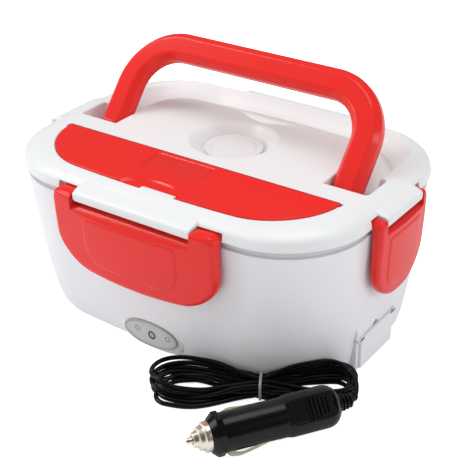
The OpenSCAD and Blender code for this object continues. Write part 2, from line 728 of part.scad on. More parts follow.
// Groove that the barrel turns in, open at the top
module barrel_room() {
    r = barrel_r + cover_gap;
    translate([-cover_end - cover_gap, cover_axis.y - r, cover_axis.z - r])
        cube([2*(cover_end + cover_gap), 2*r, 3*r]);
}
module cover_pin_holes() {
    for (s = [-1, 1]) translate(cover_axis + [s*(cover_end + cover_gap + cover_pin_l/2 + 0.5), 0, 0])
        rotate([0, 90, 0]) cylinder(r = cover_pin_r, h = cover_pin_l + 1, center = true);
}
module cover_pins() {
    color(STEEL) for (s = [-1, 1]) translate(cover_axis + [s*(cover_end + cover_gap/2), 0, 0])
        rotate([0, 90, 0]) cylinder(r = cover_pin_r, h = 2*cover_pin_l + cover_gap, center = true);
}
module spoon() {
    color(RED) translate([0, (cover_back - cover_b)/2, tray_floor + 0.4]) {
        difference() {
            hull() {
                translate([-50, 0, 0]) cylinder(r = 10, h = 1);
                translate([-50, 0, 5]) scale([1.5, 1, 1]) cylinder(r = 14, h = 1);
            }
            hull() {
                translate([-50, 0, 1.4]) cylinder(r = 8, h = 1);
                translate([-50, 0, 6]) scale([1.5, 1, 1]) cylinder(r = 12.6, h = 1);
            }
        }
        hull() {
            translate([-30.5, 0, 4.2]) cylinder(r = 4, h = 1.8);
            translate([-10, 0, 4.2]) cylinder(r = 3.4, h = 1.8);
        }
        hull() {
            translate([-10, 0, 4.2]) cylinder(r = 3.4, h = 1.8);
            translate([62, 0, 2]) cylinder(r = 7, h = 1.8);
        }
    }
}

// Tongues: lips of the lid that stand between the ears of each latch
module tongue(k) {
    d = wall_at(k, 0);
    on_side(k) intersection() {
        side_prism([[d - 9, lid_z], [d - 2, lid_z], [d - 1.2, lid_z - 0.8],
            [d + tongue_out - 1.6, lid_z - 0.8], [d + tongue_out, lid_z + 0.6],
            [d + tongue_out, lid_z + 3.4], [d + tongue_out - 1.8, lid_z + 5.4],
            [d - 3, top_z - 1.7], [d - 9, top_z - 0.5]], 2*tongue_half(k));
        linear_extrude(2*top_z) translate([0, -d - tongue_out + 20])
            polygon(concat(arc(tongue_half(k) - 3, -17, 3, 270, 360, 4), [[tongue_half(k), 20]],
                [[-tongue_half(k), 20]], arc(-tongue_half(k) + 3, -17, 3, 180, 270, 4)));
    }
}
module ear_room(k) {
    for (s = [-1, 1]) on_side(k) translate([s*(latch_half(k) + tongue_half(k))/2, 0, 0])
        side_prism([[ear_wall(k) - ear_back - 1, lid_z - 2], [ear_wall(k) + 20, lid_z - 2],
            [ear_wall(k) + 20, ear_top + 1], [ear_wall(k) - ear_back - 1, ear_top + 1]],
            latch_half(k) - tongue_half(k) + 2*ear_gap);
}
module latch_pin_set(k, r, l) {
    for (s = [-1, 1]) on_side(k) translate([s*tongue_half(k), -ear_wall(k) - hinge_out, hinge_z])
        rotate([0, 90, 0]) cylinder(r = r, h = l, center = true);
}
module lid_outside() {
    loft([lid_ring(0, lid_z), lid_ring(1, shoulder_z), lid_ring(2.8, top_z - 2.9), lid_ring(6, top_z - 1.3),
        lid_ring(11, top_z - 0.3), lid_ring(17, top_z)]);
}
module lid_shell() {
    color(WHITE) difference() {
        union() {
            difference() {
                lid_outside();
                difference() {
                    loft([lid_ring(lid_wall, lid_z - 1), lid_ring(lid_wall + 1, shoulder_z - 1.5),
                        lid_ring(lid_wall + 5, top_z - 3.4), lid_ring(lid_wall + 12, top_z - 2.2)]);
                    for (k = [0:3]) hinge_block(k);
                }
            }
            seal_band(0, tub_t, liner_top, top_z - 3);
            intersection() {
                handle_tub();
                union() {
                    lid_outside();
                    slab(nest_a, nest_b, nest_r, liner_top, lid_z + 2);
                }
            }
            intersection() {
                union() {
                    translate([0, 0, tray_floor - tub_t])
                        linear_extrude(top_z - tray_floor) tray_plan(tub_t);
                    translate([0, 0, cover_z - 1.8]) linear_extrude(3) cover_plan(cover_gap + 1.5);
                    translate([0, vent_y, 0]) vent_tub();
                }
                slab(nest_a, nest_b, nest_r, liner_top, top_z - 1);
            }
            for (k = [0:3]) tongue(k);
        }
        handle_room();
        difference() {
            union() {
                translate([0, 0, tray_floor]) linear_extrude(20) tray_plan(0);
                translate([0, 0, cover_z]) linear_extrude(20) cover_plan(cover_gap);
            }
            thumb_notch(-cover_gap);
        }
        translate([0, vent_y, 0]) vent_cut();
        for (k = [0:3]) {
            ear_room(k);
            latch_pin_set(k, latch_pin_r, 10);
        }
        barrel_room();
        cover_pin_holes();
        handle_pin_holes();
    }
}
// Solid blocks that carry the tongues and the ear recesses behind the lid's outer wall
module hinge_block(k) {
    d = wall_at(k, 0);
    on_side(k) side_prism([[d - 9, lid_z], [d + 1, lid_z], [d + 1, top_z], [d - 9, top_z]],
        2*latch_half(k) + 6);
}

// ---- Steam vent ----
module vent_tub() {
    rotate_extrude() polygon([[0, vent_floor - tub_t], [vent_cap_r + 2 + tub_t, vent_floor - tub_t],
        [vent_r + tub_t, top_z - 1], [0, top_z - 1]]);
    translate([0, 0, liner_top]) cylinder(r = chimney_r, h = vent_floor - liner_top);
}
module vent_cut() {
    rotate_extrude() polygon([[0, vent_floor], [vent_cap_r + 2, vent_floor], [vent_r, top_z],
        [vent_r, top_z + 5], [0, top_z + 5]]);
    translate([0, 0, liner_top - 1]) cylinder(r = steam_r, h = 20);
}
vent_stem = steam_r - 0.5;
vent_lift = 4;
module vent_cap() {
    color(WHITE) translate([0, vent_y, vent_floor + touch]) {
        difference() {
            cylinder(r = vent_cap_r, h = vent_cap_t);
            translate([0, 0, vent_cap_t - 0.5]) ring_between(vent_cap_r - 4, vent_cap_r - 5, 1);
        }
        translate([0, 0, -vent_floor + liner_top - touch + 1])
            cylinder(r = vent_stem, h = vent_floor - liner_top);
    }
}

// ---- Handle ----
handle_chamfer = 3.4;
handle_pin_l = 6;
module handle_section() {
    w = handle_w/2;
    t = handle_t/2;
    c = handle_chamfer;
    polygon([[w - c, -t], [w, -t + c], [w, t - c], [w - c, t],
        [-w + c, t], [-w, t - c], [-w, -t + c], [-w + c, -t]]);
}
module handle() {
    leg = handle_h - handle_r;
    color(RED) translate([0, pivot_y, pivot_z]) rotate([-handle_lean, 0, 0]) difference() {
        union() {
            for (s = [-1, 1]) translate([s*leg_x, 0, 0]) {
                linear_extrude(leg) handle_section();
                rotate([0, 90, 0]) rotate_extrude() intersection() {
                    rotate(90) handle_section();
                    translate([0, -handle_w]) square(2*handle_w);
                }
            }
            for (s = [0, 1]) mirror([s, 0, 0]) translate([leg_x - handle_r, 0, leg])
                rotate([90, 0, 0]) rotate_extrude(angle = 90) translate([handle_r, 0]) handle_section();
            translate([0, 0, handle_h]) rotate([0, 90, 0]) rotate([0, 0, 90])
                linear_extrude(2*(leg_x - handle_r), center = true) rotate(90) handle_section();
        }
        for (s = [-1, 1]) translate([s*leg_x, 0, 0]) rotate([0, 90, 0])
            cylinder(r = handle_pin_r + pin_gap, h = handle_w + 2, center = true);
    }
}
module handle_pin_shape(extra) {
    for (s = [-1, 1]) translate([s*(leg_x - handle_w/2 - platform_gap - 1.6 - extra), pivot_y, pivot_z])
        rotate([0, s*90, 0])
            cylinder(r = handle_pin_r, h = lid_a - pocket_out - platform_a + 3.2 + 2*extra);
}
module handle_pin_holes() handle_pin_shape(0);
module handle_pins() {
    color(STEEL) handle_pin_shape(0);
}

// ---- Latches ----
latch_proud = [9.5, 7];               // how far the face stands out from the lid, front and side
latch_face_bow = [4.5, 1.2];          // how much the face falls away towards the ears
latch_foot = [rim_z - 43.4, rim_z - 45.7];              // height of the lower edge
latch_foot_bow = [5, 2];              // how much the lower edge rises towards the sides
latch_corner = [25, 24];
panel_a = [32.8, 0];                  // half width of the sunk panel on the face; the sides have none
panel_foot = rim_z - 33.7;
panel_r = 14;
panel_depth = 0.5;
notch_z = lid_z - 4.3;
panel_top = notch_z - 4.2;
hook_t = 2;
module latch_pins() {
    color(STEEL) for (k = [0:3]) latch_pin_set(k, latch_pin_r, 9.6);
}
// Outline of a latch seen from outside: two ears above a panel with round lower corners
module latch_outline(k, inset) {
    h = latch_half(k) - inset;
    foot = latch_foot[k%2] + inset;
    r = latch_corner[k%2] - inset;
    polygon([for (p = concat([[h, ear_top - 2 - inset], [h - 2, ear_top - inset], [-h + 2, ear_top - inset],
        [-h, ear_top - 2 - inset]],
        arc(-h + r, foot + r, r, 180, 270, 8), between([-h + r, foot], [h - r, foot], 6),
        arc(h - r, foot + r, r, 270, 360, 8)))
        [p.x, p.y + latch_foot_bow[k%2]*pow(p.x/h, 2)*max(0, 1 - (p.y - foot)/r)]]);
}
// Closed plan ring between the latch's inner and outer face at a height
function latch_ring(k, z, inner, outer) = let (h = latch_half(k) + 1,
    drop = (k%2 == 0 ? foot_in_front : foot_in_side)*taper(z), n = 8)
    concat([for (i = [-n:n]) let (u = h*i/n) [u, -(wall_at(k, 0) - drop + latch_proud[k%2] - outer
        - latch_face_bow[k%2]*pow(u/latch_half(k), 2)), z]],
        [for (i = [n:-1:-n]) let (u = h*i/n) [u, -(wall_at(k, u) + inner), z]]);
module latch_body(k, inner, outer, z0) {
    loft([for (z = [z0, rim_z - 28.7, rim_z - 12.7, rim_z, ear_top + 1]) latch_ring(k, z, inner, outer)]);
}
module outline_solid(k, inset) {
    translate([0, -lid_a/2, 0]) rotate([90, 0, 0]) linear_extrude(lid_l) latch_outline(k, inset);
}
// Shallow sunk panel on the face of the front and back latches
module latch_panel(k) {
    a = panel_a[k%2];
    difference() {
        translate([0, -lid_a/2, 0]) rotate([90, 0, 0]) linear_extrude(lid_l)
            polygon(concat([[a, panel_top], [-a, panel_top]],
                arc(-a + panel_r, panel_foot + panel_r, panel_r, 180, 270, 6),
                arc(a - panel_r, panel_foot + panel_r, panel_r, 270, 360, 6)));
        latch_body(k, -20, panel_depth, panel_foot - 4);
    }
}
module latch(k) {
    h = latch_half(k);
    d = wall_at(k, 0);
    foot = latch_foot[k%2] - 2;
    color(RED) on_side(k) difference() {
        union() {
            difference() {
                intersection() {
                    latch_body(k, touch, 0, foot);
                    outline_solid(k, 0);
                }
                difference() {
                    intersection() {
                        latch_body(k, -12, latch_wall, foot);
                        outline_solid(k, latch_wall);
                        translate([-h, -2*lid_l, 0]) cube([2*h, 4*lid_l, notch_z - 5 - latch_wall]);
                    }
                    translate([-h, -2*lid_l, catch_z - touch - hook_t]) cube([2*h, 2*lid_l, hook_t]);
                }
            }
            intersection() {
                rotate([0, 0, -90*k]) difference() {
                    slab(lid_a + 3, lid_b + 3, lid_r + 3, catch_z - touch - hook_t, catch_z - touch);
                    slab(lid_a, lid_b, lid_r, 0, rim_z);
                }
                translate([-hook_half(k), -2*lid_l, 0]) cube([2*hook_half(k), 2*lid_l, rim_z]);
            }
            for (s = [-1, 1]) intersection() {
                translate([s*(h + tongue_half(k) + ear_gap)/2, 0, 0]) side_prism([
                    [ear_wall(k) - ear_back, lid_z + 0.6], [ear_wall(k) + 3, lid_z - 1],
                    [ear_wall(k) + 3, ear_top], [ear_wall(k) - ear_back + 1.8, ear_top],
                    [ear_wall(k) - ear_back, ear_top - 1.8]], h - tongue_half(k) - ear_gap);
                outline_solid(k, 0);
            }
        }
        side_prism([[d - 20, notch_z], [d + 3.5, notch_z], [d + 12, notch_z - 5], [d + 12, 2*top_z],
            [d - 20, 2*top_z]], 2*(tongue_half(k) + ear_gap));
        if (panel_a[k%2] > panel_r) latch_panel(k);
        rotate([0, 0, -90*k]) latch_pin_set(k, latch_pin_r + pin_gap, 10.6);
    }
}
function hook_half(k) = (k%2 == 0 ? catch_front : catch_side) - 2;
module latch_front() latch(0);
module latch_right() latch(1);
module latch_back() latch(2);
module latch_left() latch(3);

// ---- Lead ----
plug_tip_at = [77.9, -148, grip_r + 0.2];
plug_turn = 56.1;
nose_s = 4;
collar_s = 13;
barrel_s = 20;
grip_s = 55;
tail_s = 88;
boot_l = 10;
contact_turn = -37;
tip_r = 1.9;
tip_travel = 3;
fuse_r = 3;
fuse_l = 30;
// Places its children along the plug's axis, measured from the tip
module on_plug(s) {
    translate(plug_tip_at) rotate([0, 0, plug_turn]) rotate([0, 90, 0]) translate([0, 0, s]) children();
}
module plug_body() {
    collar_r = (plug_r + grip_r)/2;
    color(BLACK) on_plug(0) difference() {
        rotate_extrude() polygon([[0, collar_s], [8.8, collar_s], [collar_r, collar_s + 2.4],
            [collar_r, barrel_s - 0.6], [plug_r, barrel_s], [plug_r, grip_s], [grip_r, grip_s + 3],
            [grip_r, tail_s - 6], [grip_r - 1.6, tail_s - 2.4], [7, tail_s], [0, tail_s]]);
        translate([0, 0, collar_s - 1]) cylinder(r = 4.2, h = fuse_l + 12);
        for (a = [0, 180]) rotate([0, 0, contact_turn + a]) translate([plug_r - 4, -2.2, barrel_s + 1])
            cube([6, 4.4, 30]);
        for (a = [225, 45], i = [0:5]) rotate([0, 0, a]) translate([grip_r + 0.2, 0, 68 + 2.6*i])
            cube([1.6, 14, 1.1], center = true);
        translate([0, 0, tail_s - 4]) cylinder(r = 3, h = 5);
    }
}
module plug_nose() {
    color(NICKEL) on_plug(0) rotate_extrude() polygon([[tip_r + 0.4, nose_s], [4.2, nose_s],
        [4.8, nose_s + 2.6], [6.4, nose_s + 3], [6.8, nose_s + 5.4], [8.3, nose_s + 6], [8.3, collar_s],
        [4.1, collar_s],
        [4.1, collar_s + 3], [3.2, collar_s + 3], [3.2, nose_s + 3], [tip_r + 0.4, nose_s + 3]]);
}
module plug_tip() {
    color(NICKEL) on_plug(0) rotate_extrude() polygon([[0, 0], [1.1, 0], [tip_r, 1.2],
        [tip_r, nose_s + 3.4], [2.8, nose_s + 3.4], [2.8, nose_s + 6], [0, nose_s + 6]]);
}
spring_coils = 4;
spring_s = nose_s + 6;
spring_l = 9;
module tip_spring() {
    color(STEEL) on_plug(spring_s) {
        steps = 10*spring_coils;
        tube([for (i = [0:steps]) [2.2*cos(36*i), 2.2*sin(36*i), 0.4 + (spring_l - 0.8)*i/steps]], 0.35, 6);
    }
}
module plug_fuse() {
    color(GREY) on_plug(spring_s + spring_l + 0.2) cylinder(r = fuse_r, h = fuse_l);
}
// Bowed leaf spring in a slot of the barrel
module contact(a) {
    color(NICKEL) on_plug(barrel_s + 1) rotate([0, 0, contact_turn + a]) rotate([90, 0, 0])
        linear_extrude(3.6, center = true) polygon(concat(
            [[plug_r - 3, 27], [plug_r - 1, 27]],
            [for (i = [0:8]) let (t = i/8) [plug_r - 1 + 3.4*sin(180*t), 25 - 22*t]],
            [for (i = [8:-1:0]) let (t = i/8) [plug_r - 1.8 + 3.4*sin(180*t), 25 - 22*t]],
            [[plug_r - 1.8, 26.2], [plug_r - 3, 26.2]]));
}
module contact_upper() contact(180);
module contact_lower() contact(0);
module plug_boot() {
    color(BLACK) on_plug(0) {
        translate([0, 0, tail_s - 4]) cylinder(r = 3, h = 5);
        translate([0, 0, tail_s]) cylinder(r1 = 4.2, r2 = 2.6, h = boot_l);
        for (i = [0:3]) translate([0, 0, tail_s + 0.8 + 2.3*i]) cylinder(r = 5.2 - 0.45*i, h = 1.3);
    }
}

// Coiled cord: a hank with wide ends, tied at its waist; the right end lies higher, against the box
hank_left = [38.5, -100.2];
hank_left_r = 19;
hank_fold = [52, -107.5];
hank_fold_r = 8;
hank_waist = [79.4, -79.2];
hank_waist_r = 6.3;
hank_middle = [97.6, -71];
hank_middle_r = 7.8;
hank_right = [113.1, -57.5];
hank_right_r = 9.8;
hank_z = 1.4;
hank_h = 11;
hank_rise = 4.5;
tie_t = 1;
tie_w = 2.6;
hank_turn = atan2(hank_right.y - hank_waist.y, hank_right.x - hank_waist.x);
module lead_hank() {
    color(BLACK) translate([0, 0, hank_z]) {
        linear_extrude(hank_h) hull() {
            translate(hank_left) circle(r = hank_left_r);
            translate(hank_fold) circle(r = hank_fold_r);
            translate(hank_waist) circle(r = hank_waist_r);
        }
        linear_extrude(hank_h) hull() {
            translate(hank_waist) circle(r = hank_waist_r);
            translate(hank_middle) circle(r = hank_middle_r);
            translate(hank_right) circle(r = hank_right_r);
        }
        translate([hank_right.x, hank_right.y, 0]) cylinder(r = hank_right_r - 0.5, h = hank_h + hank_rise);
    }
}
module twist_tie() {
    w = 2*hank_waist_r + 2.6;
    h = hank_h + 0.1;
    color(GREY) translate([hank_waist.x, hank_waist.y, hank_z + hank_h/2]) rotate([0, 0, hank_turn])
        difference() {
            cube([tie_w, w + 2*tie_t, h + 2*tie_t], center = true);
            cube([tie_w + 1, w, h], center = true);
        }
}
boot_end = plug_tip_at + (tail_s + boot_l)*[cos(plug_turn), sin(plug_turn), 0];
tail_plug_route = [boot_end + [0.2, 0.29, 0], boot_end + [1.6, 4, 0.3], boot_end + [0.6, 8.8, 1.2],
    [129.4, -53.4, 13.8], [126.4, -51.4, 14.8], [123.6, -51.2, 15]];
module lead_tail_plug() {
    color(BLACK) tube(smooth(tail_plug_route, 3), cord_d/2);
}
// Appliance end of the lead, lying behind the plug
conn_perp = 17;
conn_s = 34;
conn_r = 4.2;
conn_l = 20;
conn_tip_l = 9.5;
conn_tip_r = 2.75;
conn_boot_l = 9;
module on_connector() {
    translate([plug_tip_at.x, plug_tip_at.y, conn_r + 0.2]) rotate([0, 0, plug_turn])
        translate([conn_s, conn_perp, 0]) rotate([0, 90, 0]) children();
}
module lead_connector() {
    color(BLACK) on_connector() difference() {
        union() {
            cylinder(r = conn_r, h = conn_l);
            translate([0, 0, -conn_tip_l]) cylinder(r = conn_tip_r, h = conn_tip_l);
        }
        translate([0, 0, -conn_tip_l - 1]) cylinder(r = 1.1, h = conn_tip_l);
    }
}
module connector_boot() {
    color(BLACK) on_connector() translate([0, 0, conn_l]) cylinder(r1 = 3.2, r2 = 1.9, h = conn_boot_l);
}
conn_end = [plug_tip_at.x, plug_tip_at.y, conn_r + 0.2] + (conn_s + conn_l + conn_boot_l)*[cos(plug_turn),
    sin(plug_turn), 0] + conn_perp*[-sin(plug_turn), cos(plug_turn), 0];
tail_end_route = [conn_end + [0.2, 0.29, 0], conn_end + [2.2, 3.4, -0.3], conn_end + [4, 6.3, -0.6],
    conn_end + [5.5, 9.1, -0.6]];
module lead_tail_end() {
    color(BLACK) tube(smooth(tail_end_route, 4), cord_d/2);
}

base_shell();
bottom_cover();
rubber_feet();
bottom_screws();
well_liner();
heating_plate();
ptc_heater();
heater_clamp();
clamp_screws();
thermostat();
heater_wires();
inlet_socket();
inlet_pin();
inlet_flap();
flap_pins();
indicator_badge();
indicator_lens();
indicator_led();
food_container();
lid_shell();
lid_liner();
lid_seal();
vent_cap();
spoon();
cover_pins();
spoon_cover();
handle();
handle_pins();
latch_pins();
latch_front();
latch_back();
latch_left();
latch_right();
plug_body();
plug_nose();
plug_tip();
tip_spring();
plug_fuse();
contact_upper();
contact_lower();
plug_boot();
lead_hank();
lead_tail_plug();
lead_tail_end();
twist_tie();
lead_connector();
connector_boot();
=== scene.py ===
"""Electric lunch box with its coiled 12 V lead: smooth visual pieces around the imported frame.

Sizes are in millimetres in the classes below and in metres in every finished mesh. +Z is up, +X is the
inlet side and -Y is the front.
"""

from __future__ import annotations

import logging
import math
from dataclasses import dataclass, field
from enum import Enum
from typing import Sequence

import bmesh
import bpy
import numpy as np
from mathutils import Matrix, Vector


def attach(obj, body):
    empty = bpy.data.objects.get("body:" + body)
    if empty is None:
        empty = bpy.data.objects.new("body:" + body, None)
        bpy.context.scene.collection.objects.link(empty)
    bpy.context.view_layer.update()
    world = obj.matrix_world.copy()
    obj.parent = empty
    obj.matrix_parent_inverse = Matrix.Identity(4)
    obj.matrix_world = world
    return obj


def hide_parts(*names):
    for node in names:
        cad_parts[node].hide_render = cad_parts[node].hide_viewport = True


Piece = bpy.types.Object
Socket = bpy.types.NodeSocket
Array = np.ndarray
Pair = tuple[float, float]
Point = tuple[float, float, float]
Rows = list[Pair]
Table = Sequence[Sequence[float]]

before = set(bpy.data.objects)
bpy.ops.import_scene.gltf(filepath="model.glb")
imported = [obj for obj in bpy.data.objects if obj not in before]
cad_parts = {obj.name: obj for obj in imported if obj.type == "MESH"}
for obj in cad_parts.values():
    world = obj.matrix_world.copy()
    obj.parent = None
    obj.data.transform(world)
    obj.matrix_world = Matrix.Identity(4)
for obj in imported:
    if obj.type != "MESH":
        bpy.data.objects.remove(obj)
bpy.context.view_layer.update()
LOG = logging.getLogger("lunch_box")
MM = 0.001
# Distance in millimetres below which the points of a finished piece are merged
MERGED = 0.002


# ---- nodes and colours
def linear(hex_colour: str) -> tuple[float, float, float, float]:
    """Turns an sRGB hex colour into linear values.

    Args:
        hex_colour: Six hex digits after a hash sign.

    Returns:
        Linear red, green, blue and an alpha of one.
    """
    parts = [int(hex_colour[i:i + 2], 16) / 255 for i in (1, 3, 5)]
    return (*(p / 12.92 if p <= 0.04045 else ((p + 0.055) / 1.055) ** 2.4 for p in parts), 1.0)


def add(tree: bpy.types.NodeTree, kind: str, inputs: dict | None = None, **settings: object) -> bpy.types.Node:
    """Adds a node with its settings, its input values and its links.

    Args:
        tree: The node tree of a material, a world or a geometry modifier.
        kind: The node's type name.
        inputs: Values, output sockets or lists of sockets for the node's inputs, by name or index.
        **settings: Properties of the node itself.

    Returns:
        The new node.
    """
    made = tree.nodes.new(kind)
    for name, value in settings.items():
        setattr(made, name, value)
    for key, given in (inputs or {}).items():
        for value in given if isinstance(given, list) else [given]:
            if isinstance(value, Socket):
                tree.links.new(value, made.inputs[key])
            else:
                made.inputs[key].default_value = value
    return made


def in_scene(name: str, data: bpy.types.ID) -> Piece:
    """Makes an object of some data and links it to the scene.

    Args:
        name: The object's name.
        data: Its mesh, curve, camera or lamp.

    Returns:
        The object.
    """
    made = bpy.data.objects.new(name, data)
    bpy.context.scene.collection.objects.link(made)
    return made


def shift(x: float, y: float, z: float) -> Matrix:
    """A move."""
    return Matrix.Translation((x, y, z))


def rotation(degrees: float, axis: str) -> Matrix:
    """A turn about one of the main axes."""
    return Matrix.Rotation(math.radians(degrees), 4, axis)


class Pattern(Enum):
    """How the surface of a finish is worked."""

    MOULDED = "moulded"
    BRUSHED = "brushed"
    TURNED = "turned"
    CAST = "cast"


@dataclass(frozen=True)
class Finish:
    """One real material: its colours, its gloss and the relief on its surface.

    The two colours are the lighter and darker ends of a slow drift over drift_mm. The roughness varies by
    spread over the same patches. grain_mm is the size and the depth of the relief.
    """

    name: str
    colour: str
    second: str
    roughness: float
    spread: float = 0.04
    ior: float = 1.5
    metallic: float = 0.0
    coat: float = 0.0
    drift_mm: float = 45.0
    grain_mm: Pair = (1.2, 0.01)
    edge_mm: float = 0.35
    pattern: Pattern = Pattern.MOULDED
    axis: Point = (0.0, 0.0, 0.0)
    see_through: float = 0.0

    def material(self) -> bpy.types.Material:
        """Builds the finish as a node material, once.

        Returns:
            The material of this name.
        """
        known = bpy.data.materials.get(self.name)
        if known:
            return known
        made = bpy.data.materials.new(self.name)
        made.use_nodes = True
        tree = made.node_tree
        tree.nodes.clear()
        place = add(tree, "ShaderNodeTexCoord").outputs["Object"]
        drift = add(tree, "ShaderNodeTexNoise", {"Vector": place, "Scale": 1000 / self.drift_mm, "Detail": 3.0})
        tint = add(tree, "ShaderNodeMix", {
            0: drift.outputs["Fac"], 6: linear(self.colour), 7: linear(self.second)}, data_type="RGBA")
        gloss = add(tree, "ShaderNodeMapRange", {
            "Value": drift.outputs["Fac"], "From Min": 0.3, "From Max": 0.7,
            "To Min": self.roughness - self.spread, "To Max": self.roughness + self.spread})
        normal = self._relief(tree, place)
        shader = add(tree, "ShaderNodeBsdfPrincipled", {
            "Base Color": tint.outputs[2], "Roughness": gloss.outputs["Result"], "Normal": normal,
            "Metallic": self.metallic, "Coat Weight": self.coat, "Coat Roughness": 0.08,
            "Transmission Weight": self.see_through})
        if not self.metallic:
            shader.inputs["IOR"].default_value = self.ior
        add(tree, "ShaderNodeOutputMaterial", {"Surface": shader.outputs["BSDF"]})
        return made

    def _relief(self, tree: bpy.types.NodeTree, place: Socket) -> Socket:
        """Adds the relief of the finish's pattern on softened edges.

        Args:
            tree: The material's tree.
            place: The Object coordinate socket.

        Returns:
            The socket of the bent normal.
        """
        edge = add(tree, "ShaderNodeBevel", {"Radius": self.edge_mm * MM}, samples=4)
        size, depth = self.grain_mm
        detail, rough = {Pattern.TURNED: (3.0, 0.5), Pattern.CAST: (6.0, 0.7)}.get(self.pattern, (2.0, 0.5))
        if self.pattern is Pattern.BRUSHED:
            place = add(tree, "ShaderNodeMapping", {"Vector": place, "Scale": (0.06, 1.0, 1.0)}).outputs[0]
        elif self.pattern is Pattern.TURNED:
            along = add(tree, "ShaderNodeVectorMath", {0: place, 1: self.axis}, operation="DOT_PRODUCT")
            place = add(tree, "ShaderNodeCombineXYZ", {"X": along.outputs["Value"]}).outputs[0]
        grain = add(tree, "ShaderNodeTexNoise", {
            "Vector": place, "Scale": 1000 / size, "Detail": detail, "Roughness": rough})
        bump = add(tree, "ShaderNodeBump", {
            "Height": grain.outputs["Fac"], "Strength": 1.0, "Distance": depth * MM,
            "Normal": edge.outputs["Normal"]})
        return bump.outputs["Normal"]


# Polypropylene, glossy mould: bright white with a soft sheen and a faint waviness
WHITE_PP = Finish("white_polypropylene", "#EEEFF3", "#EBECF0", 0.3, spread=0.02, ior=1.46,
                  grain_mm=(9.0, 0.008))
# Polypropylene, the same grade as the base's, a shade darker on the lid: painted shade that holds back the strong
# light on the lid's top, with a slight tint against the pink light bounced off the red parts
LID_PP_PAINTED_SHADE = Finish("lid_polypropylene_painted_shade", "#ECEEEF", "#E9EBEC", 0.3, spread=0.02, ior=1.46, grain_mm=(9.0, 0.008))
# Polypropylene, satin and greyed: the liner between the base and the lid, and the well
GREY_PP = Finish("grey_polypropylene", "#D4D5D8", "#CDCED1", 0.42, ior=1.49, grain_mm=(0.8, 0.006))
# Polypropylene, satin and natural: the food container and the vent cap, slightly creamy
NATURAL_PP = Finish("natural_polypropylene", "#E9E9E9", "#E2E2E3", 0.36, ior=1.49, grain_mm=(0.9, 0.006))
# ABS, polished mould: saturated red with clear highlights and a trace of sink waviness
RED_ABS = Finish("red_abs", "#EB2F2A", "#E92C27", 0.17, spread=0.02, ior=1.38, grain_mm=(9.0, 0.01),
                 edge_mm=0.5)
# ABS, sparked mould: the bare field sunk into the spoon cover, satin
RED_SATIN = Finish("satin_red_abs", "#E22F2A", "#DE2B26", 0.36, ior=1.45, grain_mm=(0.6, 0.01))
# ABS, black: the lighter plug, semi-gloss with sharp light lines on its edges
BLACK_ABS = Finish("black_abs", "#090808", "#070606", 0.22, ior=1.35, grain_mm=(2.2, 0.008), edge_mm=0.5)
# Soft PVC, black: the strain relief of the plug, a little duller than the plug itself
BLACK_PVC = Finish("black_soft_pvc", "#0D0C0C", "#0A0909", 0.32, ior=1.38, grain_mm=(0.9, 0.008))
# Soft PVC, extruded: the cord's jacket, glossy where it is bent
CORD_PVC = Finish("extruded_pvc", "#090909", "#060606", 0.27, ior=1.33, drift_mm=14.0, grain_mm=(1.1, 0.012),
                  edge_mm=0.1)
# Brass plated with nickel and turned: warm, bright, with fine rings from the tool
NICKEL = Finish("turned_nickel", "#F2ECDC", "#E8E0CD", 0.31, spread=0.05, metallic=1.0, drift_mm=9.0,
                grain_mm=(0.35, 0.006), edge_mm=0.15, pattern=Pattern.TURNED, axis=(0.55775, 0.83001, 0.0))
# Spring steel plated with nickel and rolled: the plug's side contacts, pale gold with soft streaks
CONTACT = Finish("rolled_nickel", "#F4EDD8", "#EAE1C8", 0.36, metallic=1.0, drift_mm=9.0,
                 grain_mm=(0.5, 0.004), edge_mm=0.12, pattern=Pattern.BRUSHED)
# Polyester film, silver: the lamp badge, satin with a very fine brushed grain
SILVER_FILM = Finish("silver_film", "#CDCED2", "#C3C4C8", 0.5, drift_mm=12.0, grain_mm=(0.25, 0.003),
                     edge_mm=0.1, pattern=Pattern.BRUSHED)
# Ink printed on the film: the plain rings round the lamp, flat and matt
DARK_INK = Finish("dark_ink", "#2E2E31", "#28282B", 0.5, drift_mm=4.0, grain_mm=(0.3, 0.002))
PALE_INK = Finish("pale_ink", "#77787D", "#707176", 0.5, drift_mm=4.0, grain_mm=(0.3, 0.002))
# ABS, moulded grey beige: the rim that holds the film, with a low even sheen
BADGE_RIM = Finish("grey_abs", "#B0B0A6", "#A6A69C", 0.33, ior=1.54, grain_mm=(0.8, 0.006))
# Polycarbonate, clear and polished: the lamp's lens, glassy with one bright point
CLEAR_PC = Finish("clear_polycarbonate", "#E9E5E1", "#E2DDD8", 0.08, spread=0.02, ior=1.585,
                  grain_mm=(0.9, 0.004), see_through=0.5)
# PVC over wire: the tie round the hank, matt grey
TIE_PVC = Finish("tie_pvc", "#A3A4A8", "#96979B", 0.5, drift_mm=6.0, grain_mm=(0.5, 0.02), edge_mm=0.15)
# Nitrile rubber: the feet, matt dark grey
FOOT_RUBBER = Finish("nitrile_rubber", "#3A3A3C", "#323234", 0.72, grain_mm=(0.5, 0.03), pattern=Pattern.CAST)
# Silicone rubber: the lid's seal, translucent white and dull
SEAL_SILICONE = Finish("silicone_rubber", "#E8E6DF", "#DFDDD6", 0.55, ior=1.41, grain_mm=(0.7, 0.01))
# Aluminium, die cast and sanded: the heating plate, pale with broad dull streaks
PLATE_ALUMINIUM = Finish("sanded_aluminium", "#C9CBCF", "#BFC1C5", 0.36, metallic=1.0, grain_mm=(0.4, 0.01),
                         pattern=Pattern.BRUSHED)
# Steel, zinc plated: screws, pins and the clamp, a cold grey gleam broken by fine grain
ZINC_STEEL = Finish("zinc_plated_steel", "#B9BBC0", "#A9ABB1", 0.3, metallic=1.0, grain_mm=(0.5, 0.006),
                    pattern=Pattern.CAST)
# Brass foil, wrapped: round the heater block, yellow with crumpled glints
BRASS_FOIL = Finish("brass_foil", "#C8A85A", "#B79548", 0.32, metallic=1.0, grain_mm=(1.5, 0.03),
                    pattern=Pattern.CAST)
